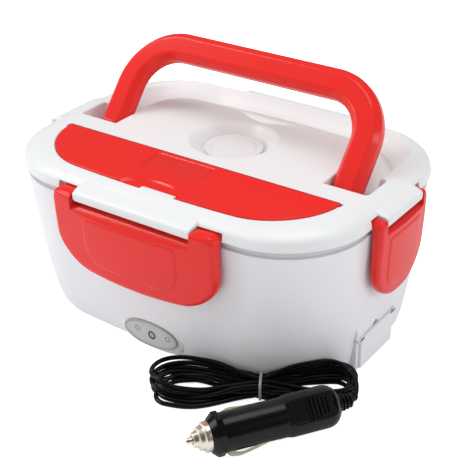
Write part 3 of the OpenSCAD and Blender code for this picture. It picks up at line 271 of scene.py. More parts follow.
# Silicone rubber, extruded: the sleeve of the heater wires, soft matt red
WIRE_SLEEVE = Finish("wire_silicone", "#B3322C", "#A52A25", 0.5, ior=1.41, grain_mm=(0.4, 0.01))


# ---- outlines
@dataclass(frozen=True)
class Sizes:
    """The box's own sizes in millimetres, the same as the frame's."""

    lid_a: float = 118.0
    lid_b: float = 86.5
    lid_r: float = 47.0
    lid_h: float = 10.2
    rim_z: float = 90.7
    groove_h: float = 4.6
    rim_in: float = 1.7
    bow_front: float = 5.4
    bow_side: float = 2.3
    foot_in_side: float = 6.3
    foot_in_front: float = 9.8
    foot_r_grow: float = 7.5
    foot_z: float = 1.2
    tongue_half: Pair = (42.0, 21.0)
    latch_half: Pair = (57.8, 27.5)
    cover_back: float = -28.2
    leg_x: float = 86.4
    pivot: Point = (0.0, 0.4, 99.0)

    @property
    def lid_z(self) -> float:
        """Height of the lid's lower rim."""
        return self.rim_z + self.groove_h

    @property
    def top_z(self) -> float:
        """Height of the lid's top face."""
        return self.lid_z + self.lid_h

    def taper(self, z: float) -> float:
        """Share of the base's taper that has built up at a height."""
        t = max(0.0, (self.rim_z - z) / self.rim_z)
        return 0.7 * t + 0.3 * t ** 5

    def base(self, inset: float, z: float) -> Plan:
        """Plan outline of the base at a height, drawn in by a distance.

        Args:
            inset: The distance.
            z: The height.

        Returns:
            The outline.
        """
        t = self.taper(z)
        return Plan(self.lid_a - self.rim_in - self.foot_in_side * t - inset,
                    self.lid_b - self.rim_in - self.foot_in_front * t - inset,
                    self.lid_r - self.rim_in + self.foot_r_grow * t - inset)

    def wall_at(self, side: Side, u: float) -> float:
        """Distance of a side's wall from the middle, at a distance along it."""
        if side.is_long:
            return self.lid_b - self.bow_front * (u / (self.lid_a - self.bow_side)) ** 2
        return self.lid_a - self.bow_side * (u / (self.lid_b - self.bow_front)) ** 2


SIZE = Sizes()


class Side(Enum):
    """The four sides of the box, by quarter turns from the front."""

    FRONT = 0
    RIGHT = 1
    BACK = 2
    LEFT = 3

    @property
    def is_long(self) -> bool:
        """Whether this is the front or the back."""
        return self.value % 2 == 0

    @property
    def turn(self) -> Matrix:
        """Rotation that brings a piece made on the front to this side."""
        return rotation(90 * self.value, "Z")


@dataclass(frozen=True)
class Plan:
    """Rounded rectangle whose sides bow outwards: half sizes and corner radius in millimetres."""

    a: float
    b: float
    r: float

    def grown(self, by: float) -> Plan:
        """The same plan, larger by a distance all round."""
        return Plan(self.a + by, self.b + by, max(self.r + by, 1.0))

    def towards(self, other: Plan, t: float) -> Plan:
        """The plan a share of the way to another one."""
        return Plan(*(p + (q - p) * t for p, q in ((self.a, other.a), (self.b, other.b), (self.r, other.r))))

    def points(self) -> Array:
        """Points round the plan, against the clock.

        Returns:
            An array of x and y rows.
        """
        a0, b0 = self.a - SIZE.bow_side, self.b - SIZE.bow_front
        cx, cy = a0 - self.r, b0 - self.r
        rows: Rows = []
        for sx, sy, start, steps in ((1, 1, 0, 26), (-1, 1, 90, 16), (-1, -1, 180, 26), (1, -1, 270, 16)):
            for t in np.radians(np.linspace(start, start + 90, 23)):
                rows.append((sx * cx + self.r * math.cos(t), sy * cy + self.r * math.sin(t)))
            far = {0: (-cx, b0), 90: (-a0, -cy), 180: (cx, -b0), 270: (a0, cy)}[start]
            near = rows[-1]
            for i in range(1, steps):
                rows.append((near[0] + (far[0] - near[0]) * i / steps, near[1] + (far[1] - near[1]) * i / steps))
        p = np.array(rows)
        return np.column_stack([p[:, 0] * (1 + SIZE.bow_side / a0 * (1 - (p[:, 1] / b0) ** 2)),
                                p[:, 1] * (1 + SIZE.bow_front / b0 * (1 - (p[:, 0] / a0) ** 2))])


def at_height(points: Array, z: float) -> Array:
    """Lifts plan points to a height."""
    return np.column_stack([points, np.full(len(points), z)])


def upright(points: Array, y: float) -> Array:
    """Stands points along and up at a distance behind the middle."""
    return np.column_stack([points[:, 0], np.full(len(points), y), points[:, 1]])


def grown(points: Array, by: float) -> Array:
    """Moves the edges of a closed polygon outwards, keeping its corners.

    Args:
        points: The polygon's points, against the clock.
        by: Distance outwards, or inwards if negative.

    Returns:
        As many points as before.
    """
    step = np.roll(points, -1, 0) - points
    normal = np.column_stack([step[:, 1], -step[:, 0]]) / np.linalg.norm(step, axis=1)[:, None]
    before = np.roll(normal, 1, 0)
    both = normal + before
    return points + by * both / np.maximum(1 + (normal * before).sum(1), 0.3)[:, None]


def clipped(points: Array, limit: float) -> Array:
    """Keeps the part of a convex polygon below a line y = limit.

    Args:
        points: The polygon.
        limit: The line's height.

    Returns:
        The points of what is kept.
    """
    rows = []
    for p, q in zip(points, np.roll(points, -1, 0)):
        if p[1] <= limit:
            rows.append(p)
        if (p[1] <= limit) != (q[1] <= limit):
            rows.append(p + (q - p) * (limit - p[1]) / (q[1] - p[1]))
    kept = [p for p, q in zip(rows, rows[1:] + rows[:1]) if np.linalg.norm(p - q) > 0.02]
    return np.array(kept)


def arc(cx: float, cy: float, r: float, start: float, end: float, steps: int) -> Rows:
    """Points on a circle from one angle to another, in degrees."""
    return [(cx + r * math.cos(t), cy + r * math.sin(t)) for t in np.radians(np.linspace(start, end, steps + 1))]


def rounded(a: float, b: float, r: float, steps: int = 8) -> Array:
    """Plain rounded rectangle of half sizes a and b."""
    return np.array(arc(a - r, b - r, r, 0, 90, steps) + arc(r - a, b - r, r, 90, 180, steps)
                    + arc(r - a, r - b, r, 180, 270, steps) + arc(a - r, r - b, r, 270, 360, steps))


def ellipse(a: float, b: float, steps: int = 72) -> Array:
    """Points round an ellipse."""
    t = np.linspace(0, 2 * math.pi, steps, endpoint=False)
    return np.column_stack([a * np.cos(t), b * np.sin(t)])


def quarter(r: float, steps: int) -> Rows:
    """Rows that turn a wall into a face: (distance from the wall, distance below the face)."""
    return [(r * (1 - math.cos(t)), r * (1 - math.sin(t))) for t in np.linspace(0, math.pi / 2, steps + 1)]


def spline(rows: Table, steps: int) -> Array:
    """Smooth rows through given rows, which it also passes through.

    Args:
        rows: The given rows.
        steps: Steps from one of them to the next.

    Returns:
        The smooth rows.
    """
    p = np.array(rows, float)
    out = []
    for i in range(len(p) - 1):
        a, b, c, d = p[max(i - 1, 0)], p[i], p[i + 1], p[min(i + 2, len(p) - 1)]
        for t in np.linspace(0, 1, steps, endpoint=False):
            out.append(0.5 * (2 * b + (c - a) * t + (2 * a - 5 * b + 4 * c - d) * t * t
                              + (3 * b - a - 3 * c + d) * t ** 3))
    return np.array(out + [p[-1]])


# ---- solids
def flattened(obj: Piece) -> Piece:
    """Replaces an object's mesh by its evaluated one and removes its modifiers.

    Args:
        obj: The object.

    Returns:
        The same object.
    """
    graph = bpy.context.evaluated_depsgraph_get()
    mesh = bpy.data.meshes.new_from_object(obj.evaluated_get(graph))
    mesh.name = obj.name
    obj.modifiers.clear()
    old, obj.data = obj.data, mesh
    bpy.data.meshes.remove(old)
    return obj


class Solid:
    """A closed mesh in millimetres that can be joined with others, cut by them or kept inside them."""

    def __init__(self, obj: Piece) -> None:
        """Takes a mesh object over."""
        self.obj = obj

    @classmethod
    def loft(cls, rings: Sequence[Array], looped: bool = False) -> Solid:
        """Joins rings of equal length in order, with flat ends or as a closed loop.

        Args:
            rings: Rings of x, y and z rows.
            looped: Whether the last ring joins the first one.

        Returns:
            The solid.
        """
        n, m = len(rings[0]), len(rings)
        faces = []
        for j in range(m if looped else m - 1):
            k = (j + 1) % m
            faces += [(j * n + i, j * n + (i + 1) % n, k * n + (i + 1) % n, k * n + i) for i in range(n)]
        if not looped:
            faces += [tuple(range(n - 1, -1, -1)), tuple((m - 1) * n + i for i in range(n))]
        mesh = bpy.data.meshes.new("solid")
        mesh.from_pydata([tuple(map(float, p)) for p in np.vstack(rings)], [], faces)
        return cls(in_scene("solid", mesh)).mended()

    @classmethod
    def pillar(cls, outline: Array, rows: Table) -> Solid:
        """A solid on a plan outline, through rows of (offset, height)."""
        return cls.loft([at_height(grown(outline, off) if abs(off) > 1e-6 else outline, z) for off, z in rows])

    @classmethod
    def turned(cls, rows: Table, steps: int = 96, looped: bool = False) -> Solid:
        """A solid turned round the Z axis from rows of (radius, height), lowest first."""
        t = np.linspace(0, 2 * math.pi, steps, endpoint=False)
        return cls.loft([np.column_stack([max(r, 0.02) * np.cos(t), max(r, 0.02) * np.sin(t),
                                          np.full(steps, z)]) for r, z in rows], looped)

    @classmethod
    def bar(cls, outline: Table, half: float, end_round: float = 0.0) -> Solid:
        """A bar along X on the front side, from an outline of (outward, up) points.

        Args:
            outline: Its section.
            half: Half of its length.
            end_round: Radius at its ends.

        Returns:
            The bar.
        """
        section = np.array(outline, float)
        rows = [(0.0, -half), (0.0, half)]
        if end_round:
            bend = [(-inset, half - short) for inset, short in quarter(end_round, 5)]
            rows = [(off, -x) for off, x in reversed(bend)] + bend
        return cls.loft([np.column_stack([np.full(len(section), x), -p[:, 0], p[:, 1]])
                         for off, x in rows for p in [grown(section, off) if off else section]])

    @classmethod
    def block(cls, low: Sequence[float], high: Sequence[float]) -> Solid:
        """A box between two corners.

        Args:
            low: The lowest corner.
            high: The highest corner.

        Returns:
            The box.
        """
        x, y = (low[0] + high[0]) / 2, (low[1] + high[1]) / 2
        plan = np.array([(high[0] - x, high[1] - y), (low[0] - x, high[1] - y), (low[0] - x, low[1] - y),
                         (high[0] - x, low[1] - y)]) + (x, y)
        return cls.loft([at_height(plan, low[2]), at_height(plan, high[2])])

    def mended(self, merge: float = 0.0, dissolve: bool = False, outwards: bool = True) -> Solid:
        """Merges points, dissolves faces without area and turns the faces outwards.

        Args:
            merge: Distance below which points are merged, in the mesh's own unit.
            dissolve: Whether faces and edges without a size go too.
            outwards: Whether the faces are turned.

        Returns:
            This solid.
        """
        work = bmesh.new()
        work.from_mesh(self.obj.data)
        if merge:
            bmesh.ops.remove_doubles(work, verts=work.verts, dist=merge)
        if dissolve:
            bmesh.ops.dissolve_degenerate(work, edges=work.edges, dist=merge)
        if outwards:
            bmesh.ops.recalc_face_normals(work, faces=work.faces)
        work.to_mesh(self.obj.data)
        work.free()
        return self

    def moved(self, matrix: Matrix) -> Solid:
        """Moves the mesh by a matrix in millimetres."""
        self.obj.data.transform(matrix)
        return self

    def _combined(self, other: Solid, operation: str) -> Solid:
        """Applies one boolean with another solid, which is used up.

        Args:
            other: The other solid.
            operation: The boolean's name.

        Returns:
            This solid.
        """
        step = self.obj.modifiers.new("combine", "BOOLEAN")
        step.operation, step.solver, step.object = operation, "MANIFOLD", other.obj
        flattened(self.obj)
        used = other.obj.data
        bpy.data.objects.remove(other.obj)
        bpy.data.meshes.remove(used)
        return self

    def joined(self, *others: Solid) -> Solid:
        """Joins other solids to this one."""
        for other in others:
            self._combined(other, "UNION")
        return self

    def cut(self, *others: Solid) -> Solid:
        """Takes other solids away from this one."""
        for other in others:
            self._combined(other, "DIFFERENCE")
        return self

    def kept(self, other: Solid) -> Solid:
        """Keeps what lies inside another solid."""
        return self._combined(other, "INTERSECT")

    def piece(self, name: str, finish: Finish, body: str, slot: str, node: str,
              sharp: float = 34.0) -> Piece:
        """Turns the solid into a finished piece in metres and ties it to its body and node.

        Args:
            name: The piece's name.
            finish: Its material.
            body: The body that it rides on.
            slot: The record's material slot; not used.
            node: The node that it stands for.
            sharp: Angle in degrees above which an edge stays sharp.

        Returns:
            The piece.
        """
        obj = self.obj
        obj.data.transform(Matrix.Scale(MM, 4))
        self.mended(MERGED * MM, dissolve=True, outwards=False)
        obj.name = name
        obj.data.shade_smooth()
        obj.data.set_sharp_from_angle(angle=math.radians(sharp))
        weigh = obj.modifiers.new("weigh", "WEIGHTED_NORMAL")
        weigh.keep_sharp, weigh.weight = True, 60
        flattened(obj)
        obj.data.materials.clear()
        obj.data.materials.append(finish.material())
        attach(obj, body)
        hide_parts(node)
        LOG.info("%s: %d faces on %s", name, len(obj.data.polygons), body)
        return obj


# ---- cord
# The lighter plug's tip, and the angle of its axis to the right side in degrees
PLUG_TIP = (77.9, -148.0, 12.0)
PLUG_TURN = 56.1
# Each turn's left lobe as rows of (distance from the tie, distance towards the box, height), from the tie's
# back strand round the tip to its front strand
LEFT_TURNS = (
    ((0, 1.4, 9.9), (14, 6.2, 10.6), (30, 12.8, 11.0), (46, 17.0, 11.0), (57, 17.6, 9.8), (64, 14.4, 7.8),
     (67, 8.4, 6.0), (66, 2.0, 5.0), (60, -5.0, 4.4), (50, -9.8, 4.2), (36, -10.2, 5.2), (20, -7.0, 7.6),
     (0, -1.4, 9.9)),
    ((0, 4.2, 9.6), (14, 7.0, 9.4), (30, 11.0, 9.4), (46, 13.8, 9.0), (58, 13.0, 7.6), (65.5, 7.6, 5.0),
     (65.4, 0.6, 3.6), (59, -7.0, 2.6), (48, -11.6, 2.2), (34, -10.8, 3.2), (18, -6.8, 6.0), (0, -4.2, 9.6)),
    ((0, 4.2, 7.0), (14, 5.6, 8.0), (30, 9.8, 7.6), (46, 12.2, 7.0), (58, 11.0, 5.4), (65, 5.0, 3.2),
     (64.2, -2.4, 2.0), (57, -8.8, 1.6), (45, -12.4, 1.5), (31, -11.6, 1.8), (16, -6.6, 4.0), (0, -1.4, 7.1)),
    ((0, 1.4, 7.0), (14, 4.2, 6.6), (30, 8.0, 6.0), (46, 10.4, 5.6), (58, 9.8, 5.0), (64.6, 3.0, 4.6),
     (62.8, -4.2, 4.4), (54, -9.6, 4.2), (41, -10.6, 4.2), (28, -8.6, 4.0), (14, -6.2, 5.0), (0, -4.2, 7.0)),
    ((0, 4.2, 4.3), (14, 5.2, 4.6), (30, 5.6, 4.0), (44, 5.8, 3.0), (56, 3.8, 2.0), (62.0, -3.6, 1.5),
     (58, -11.8, 1.5), (49, -17.6, 1.5), (39.5, -19.6, 1.5), (29, -16.2, 1.5), (17.6, -8.8, 2.2),
     (0, -4.2, 4.3)),
    ((0, 1.4, 4.3), (14, 3.0, 3.6), (28, 5.4, 2.6), (43, 8.4, 1.8), (55.6, 8.8, 1.5), (63.0, 0.4, 1.5),
     (57, -8.4, 1.5), (44, -9.6, 1.5), (28, -7.0, 1.6), (14, -4.2, 2.8), (0, -1.4, 4.3)),
    ((0, 3.0, 1.5), (14, 3.8, 3.0), (28, 5.0, 4.6), (43, 8.4, 4.6), (54.6, 8.4, 4.4), (61.6, -0.4, 4.3),
     (55.2, -9.0, 4.3), (43, -9.8, 4.3), (28, -6.2, 3.4), (14, -3.8, 2.0), (0, -2.6, 1.5)),
)
# Each turn's right lobe as its tip, its width towards the box, its height there and its height in front
RIGHT_TURNS = ((57.4, 12.8, 15.0, 7.6), (56.6, 11.4, 12.6, 5.0), (57.0, 10.6, 10.4, 2.6), (57.0, 10.0, 9.0, 7.0),
               (57.6, 10.2, 6.8, 1.6), (56.4, 9.6, 4.4, 1.6))


@dataclass
class Lead:
    """The coiled cord between the lighter plug and the box's own connector, with its tie.

    waist is the place of the tie, and left and right point along the lobes from it. The route is settled in
    steps: pull draws it home in the first pulled_steps, smooth evens it over one and two points, push parts
    strands that touch, the strands at the tie stay in tie_half and under tie_top, and bends open to least_bend.
    """

    diameter: float = 2.8
    waist: Pair = (79.4, -79.2)
    left: Pair = (-0.8896, -0.4567)
    right: Pair = (0.841, 0.541)
    plug_tip: Point = PLUG_TIP
    plug_turn: float = PLUG_TURN
    exit_s: float = 96.6
    spacing: float = 2.4
    steps: int = 350
    pulled_steps: int = 300
    pull: float = 0.045
    smooth: Pair = (0.2, 0.06)
    push: float = 1.5
    tie_half: Pair = (4.0, 4.6)
    tie_top: float = 10.0
    tie_give: float = 0.7
    least_bend: float = 9.6

    def frame_point(self, lobe: Pair, along: float, across: float, z: float) -> Array:
        """A point of a lobe, from its distance along the lobe's axis, its distance towards the box and z.

        Args:
            lobe: The lobe's direction.
            along: Distance along it.
            across: Distance towards the box.
            z: Height.

        Returns:
            The point.
        """
        e = np.array(lobe)
        n = np.array((-e[1], e[0])) if e[0] > 0 else np.array((e[1], -e[0]))
        p = np.array(self.waist) + along * e + across * n
        return np.array([p[0], p[1], z])

    def plug_dir(self) -> Array:
        """Direction of the plug's axis, from its tip to its boot."""
        t = math.radians(self.plug_turn)
        return np.array([math.cos(t), math.sin(t), 0.0])

    def guide(self) -> Array:
        """Rough route from the plug's boot through every turn to the connector's boot.

        Returns:
            Rows of x, y and z in millimetres.
        """
        d = self.plug_dir()
        start = np.array(self.plug_tip) + self.exit_s * d
        rows = [start, start + 2 * d, np.array([132.0, -64.0, 12.2]), np.array([130.9, -59.0, 12.5]),
                np.array([128.6, -54.0, 13.4]), np.array([124.4, -49.6, 15.0])]
        for k, turn in enumerate(LEFT_TURNS):
            rows += self.right_back(k)
            rows += [self.frame_point(self.left, u, v, z) for u, v, z in turn]
            if k < len(RIGHT_TURNS):
                rows += self.right_front(k)
        rows += [self.frame_point(self.right, 14, -5.4, 1.5),
                 np.array([99.5, -79.5, 1.6]), self.connector_end() + 7.5 * d - np.array([0, 0, 2.4]),
                 self.connector_end() + 3.5 * d, self.connector_end()]
        return np.array(rows)

    def right_back(self, k: int) -> list[Array]:
        """Points of a turn from its right tip to the tie, along the side towards the box.

        Args:
            k: The turn's number.

        Returns:
            The points.
        """
        tip, width, high, _ = (51.0, 14.2, 16.6, 0.0) if k == 0 else RIGHT_TURNS[k - 1]
        rows = ((tip - 10.5, width, high), (27.0, width * 0.74, high - 0.6),
                (13.5, width * 0.26 + 2.6, high * 0.55 + 4.6))
        return [self.frame_point(self.right, *row) for row in rows]

    def right_front(self, k: int) -> list[Array]:
        """Points of a turn from the tie round its right tip.

        Args:
            k: The turn's number.

        Returns:
            The points.
        """
        tip, width, high, low = RIGHT_TURNS[k]
        rows = ((13, -4.6, low + 0.6), (27, -7.6, low), (tip - 12, -9.6, low),
                (tip - 4.2, -7.0, low * 0.7 + high * 0.3), (tip, 0.6, low * 0.4 + high * 0.6),
                (tip - 3.8, 7.8, low * 0.15 + high * 0.85))
        return [self.frame_point(self.right, *row) for row in rows]

    def tie_axes(self) -> tuple[Array, Array, Array]:
        """The tie's place, the direction of the strands through it and the direction across them.

        Returns:
            Three rows of x, y and z.
        """
        axis = np.array([*self.right, 0.0]) - np.array([*self.left, 0.0])
        axis /= np.linalg.norm(axis)
        return np.array([*self.waist, 0.0]), axis, np.array([-axis[1], axis[0], 0.0])

    def connector_end(self) -> Array:
        """Where the cord leaves the connector's boot."""
        d = self.plug_dir()
        across = np.array([-d[1], d[0], 0.0])
        return np.array([*self.plug_tip[:2], 4.4]) + 63.0 * d + 17.0 * across

    def route(self) -> Array:
        """Settles the rough route until no strand lies in another, in the box, the plug or the floor.

        Returns:
            Rows of x, y and z in millimetres, evenly spaced.
        """
        p = even(spline(self.guide(), 12), self.spacing)
        n, r = len(p), self.diameter / 2
        skip = int(math.ceil(2.4 * self.diameter / self.spacing)) + 1
        pairs = np.array([(i, j) for i in range(n) for j in range(i + skip, n)])
        far = self.diameter * 1.015
        tip, d = np.array(self.plug_tip), self.plug_dir()
        fixed = np.zeros(n, bool)
        fixed[:2] = fixed[-2:] = True
        home = p.copy()
        waist, axis, normal = self.tie_axes()
        walls = self.walls(r)
        hubs = [(tip - 2 * d, tip + 88 * d, 11.5), (tip + 88 * d, tip + 97 * d, 5.3),
                (self.connector_end() - 40 * d, self.connector_end() - 1.5 * d, 4.3)]
        for step in range(self.steps):
            if step < self.pulled_steps:
                p += self.pull * (home - p)
            if step % 2 == 0:
                p[1:-1] += ((p[:-2] + p[2:]) / 2 - p[1:-1]) * self.smooth[0]
                p[2:-2] += ((p[:-4] + p[4:]) / 2 - p[2:-2]) * self.smooth[1]
            gap = p[pairs[:, 1]] - p[pairs[:, 0]]
            away = np.linalg.norm(gap, axis=1)
            near = away < far
            i, j = pairs[near, 0], pairs[near, 1]
            push = gap[near] / np.maximum(away[near], 1e-3)[:, None] * ((far - away[near]) * 0.5)[:, None]
            move, count = np.zeros_like(p), np.zeros(n)
            np.add.at(move, i, -push)
            np.add.at(move, j, push)
            np.add.at(count, i, 1)
            np.add.at(count, j, 1)
            move /= np.maximum(count, 1)[:, None]
            for _ in range(2):
                move[1:-1] = 0.5 * move[1:-1] + 0.25 * (move[:-2] + move[2:])
            p += move * self.push
            self.clear(p, r, walls, hubs, fixed)
            self.straighten(p)
            along, across = (p - waist) @ axis, (p - waist) @ normal
            tied = np.abs(along) < self.tie_half[0]
            over = np.clip(np.abs(across) - self.tie_half[1], 0, None) * np.sign(across)
            p[tied] -= over[tied, None] * normal * self.tie_give
            p[tied, 2] -= np.clip(p[tied, 2] - self.tie_top, 0, None) * self.tie_give
            p[:, 2] = np.maximum(p[:, 2], r + 0.05)
            p[fixed] = home[fixed]
        LOG.info("cord: %d points, %.0f mm, closest %.2f mm", n, np.linalg.norm(p[1:] - p[:-1], axis=1).sum(),
                 np.linalg.norm(p[pairs[:, 1]] - p[pairs[:, 0]], axis=1).min())
        return p

    def straighten(self, p: Array) -> None:
        """Opens the bends that are too tight, as the jacket's stiffness does.

        Args:
            p: The points, which are moved.
        """
        for step in (2, 3):
            a, b, c = p[:-2 * step], p[step:-step], p[2 * step:]
            sides = [np.linalg.norm(v, axis=1) for v in (b - a, c - b, c - a)]
            area = 2 * np.linalg.norm(np.cross(b - a, c - a), axis=1)
            radius = np.prod(sides, axis=0) / np.maximum(area, 1e-6)
            share = np.clip(1 - radius / self.least_bend, 0, 0.8) * 1.1
            move = ((a + c) / 2 - b) * share[:, None]
            p[step:-step] += move * 0.6
            p[:-2 * step] -= move * 0.3
            p[2 * step:] -= move * 0.3

    @staticmethod
    def walls(r: float) -> list[tuple[float, Array, Array]]:
        """The base's outline near the coil at a few heights, with its outward normals.

        Args:
            r: The cord's radius.

        Returns:
            Rows of (height, outline, normals).
        """
        made = []
        for z in (2.0, 6.0, 10.0, 14.0, 18.0):
            ring = SIZE.base(-r - 0.15, z).points()
            step = np.roll(ring, -1, 0) - np.roll(ring, 1, 0)
            normal = np.column_stack([step[:, 1], -step[:, 0]]) / np.linalg.norm(step, axis=1)[:, None]
            use = (ring[:, 1] < 0) & (ring[:, 0] > 0)
            made.append((z, ring[use], normal[use]))
        return made

    @staticmethod
    def clear(p: Array, r: float, walls: list, hubs: list, fixed: Array) -> None:
        """Moves points of the cord out of the base's wall, the plug and the connector.

        Args:
            p: The points.
            r: The cord's radius.
            walls: (height, outline, normals) rows of the base.
            hubs: (start, end, radius) of round parts.
            fixed: Which points stay.
        """
        which = np.clip(np.round((p[:, 2] - 2) / 4), 0, 4).astype(int)
        for k, (_, ring, normal) in enumerate(walls):
            use = np.nonzero((which == k) & (p[:, 0] > 30) & (p[:, 1] > -110))[0]
            if len(use):
                near = ((p[use, None, :2] - ring[None]) ** 2).sum(2).argmin(1)
                deep = ((p[use, :2] - ring[near]) * normal[near]).sum(1)
                inside = deep < 0
                p[use[inside], :2] -= deep[inside, None] * normal[near[inside]]
        for start, end, radius in hubs:
            long = np.linalg.norm(end - start)
            e = (end - start) / long
            s = (p - start) @ e
            off = p - start - s[:, None] * e
            reach = np.linalg.norm(off, axis=1)
            inside = (reach < radius + r) & (s > 0) & (s < long) & ~fixed
            p[inside] += off[inside] * ((radius + r) / np.maximum(reach[inside], 0.1) - 1)[:, None]

    def build(self) -> Piece:
        """Makes the cord as one open curve, and its tie.

        Returns:
            The cord.
        """
        p = even(spline(self.route(), 3), 1.0)[::-1]
        data = bpy.data.curves.new("lead_cord", "CURVE")
        data.dimensions = "3D"
        data.bevel_depth = self.diameter / 2 * MM
        data.bevel_resolution = 4
        data.use_fill_caps = True
        line = data.splines.new("POLY")
        line.points.add(len(p) - 1)
        line.points.foreach_set("co", np.column_stack([p * MM, np.ones(len(p))]).ravel())
        line.use_smooth = True
        made = in_scene("lead_cord", data)
        data.materials.append(CORD_PVC.material())
        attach(made, "base")
        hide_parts("lead_hank", "lead_tail_plug", "lead_tail_end")
        self.tie(p)
        return made

    def tie(self, p: Array) -> None:
        """Makes the tie as a flat strap that loops round the strands at the waist.

        Args:
            p: The cord's settled route in millimetres.
        """
        waist, axis, normal = self.tie_axes()
        near = p[np.abs((p - waist) @ axis) < 1.6]
        across, height = (near - waist) @ normal, near[:, 2]
        t = np.linspace(0, 2 * math.pi, 72, endpoint=False)
        way = np.column_stack([np.cos(t), np.sin(t)])
        reach = (np.column_stack([across, height]) @ way.T).max(0) + 1.45
        slope = (np.roll(reach, -1) - np.roll(reach, 1)) / (2 * t[1])
        outline = np.column_stack([reach * way[:, 0] - slope * way[:, 1], reach * way[:, 1] + slope * way[:, 0]])
        rings = []
        for x, off in ((-0.75, 0.05), (-0.75, 0.45), (-0.45, 0.65), (0.45, 0.65), (0.75, 0.45), (0.75, 0.05)):
            q = outline + off * way
            high = np.maximum(q[:, 1], 0.02 + 0.65 - off)
            rings.append(waist + q[:, :1] * normal + x * axis + high[:, None] * (0, 0, 1))
        Solid.loft(rings, looped=True).piece("lead_tie", TIE_PVC, "base", "tie_plastic", "twist_tie")


def even(p: Array, spacing: float) -> Array:
    """Spaces the points of a line evenly.

    Args:
        p: The line's points.
        spacing: Distance between them, about.

    Returns:
        The spaced points.
    """
    run = np.concatenate([[0], np.cumsum(np.linalg.norm(p[1:] - p[:-1], axis=1))])
    at = np.linspace(0, run[-1], max(2, int(round(run[-1] / spacing)) + 1))
    return np.stack([np.interp(at, run, p[:, k]) for k in range(3)], axis=1)


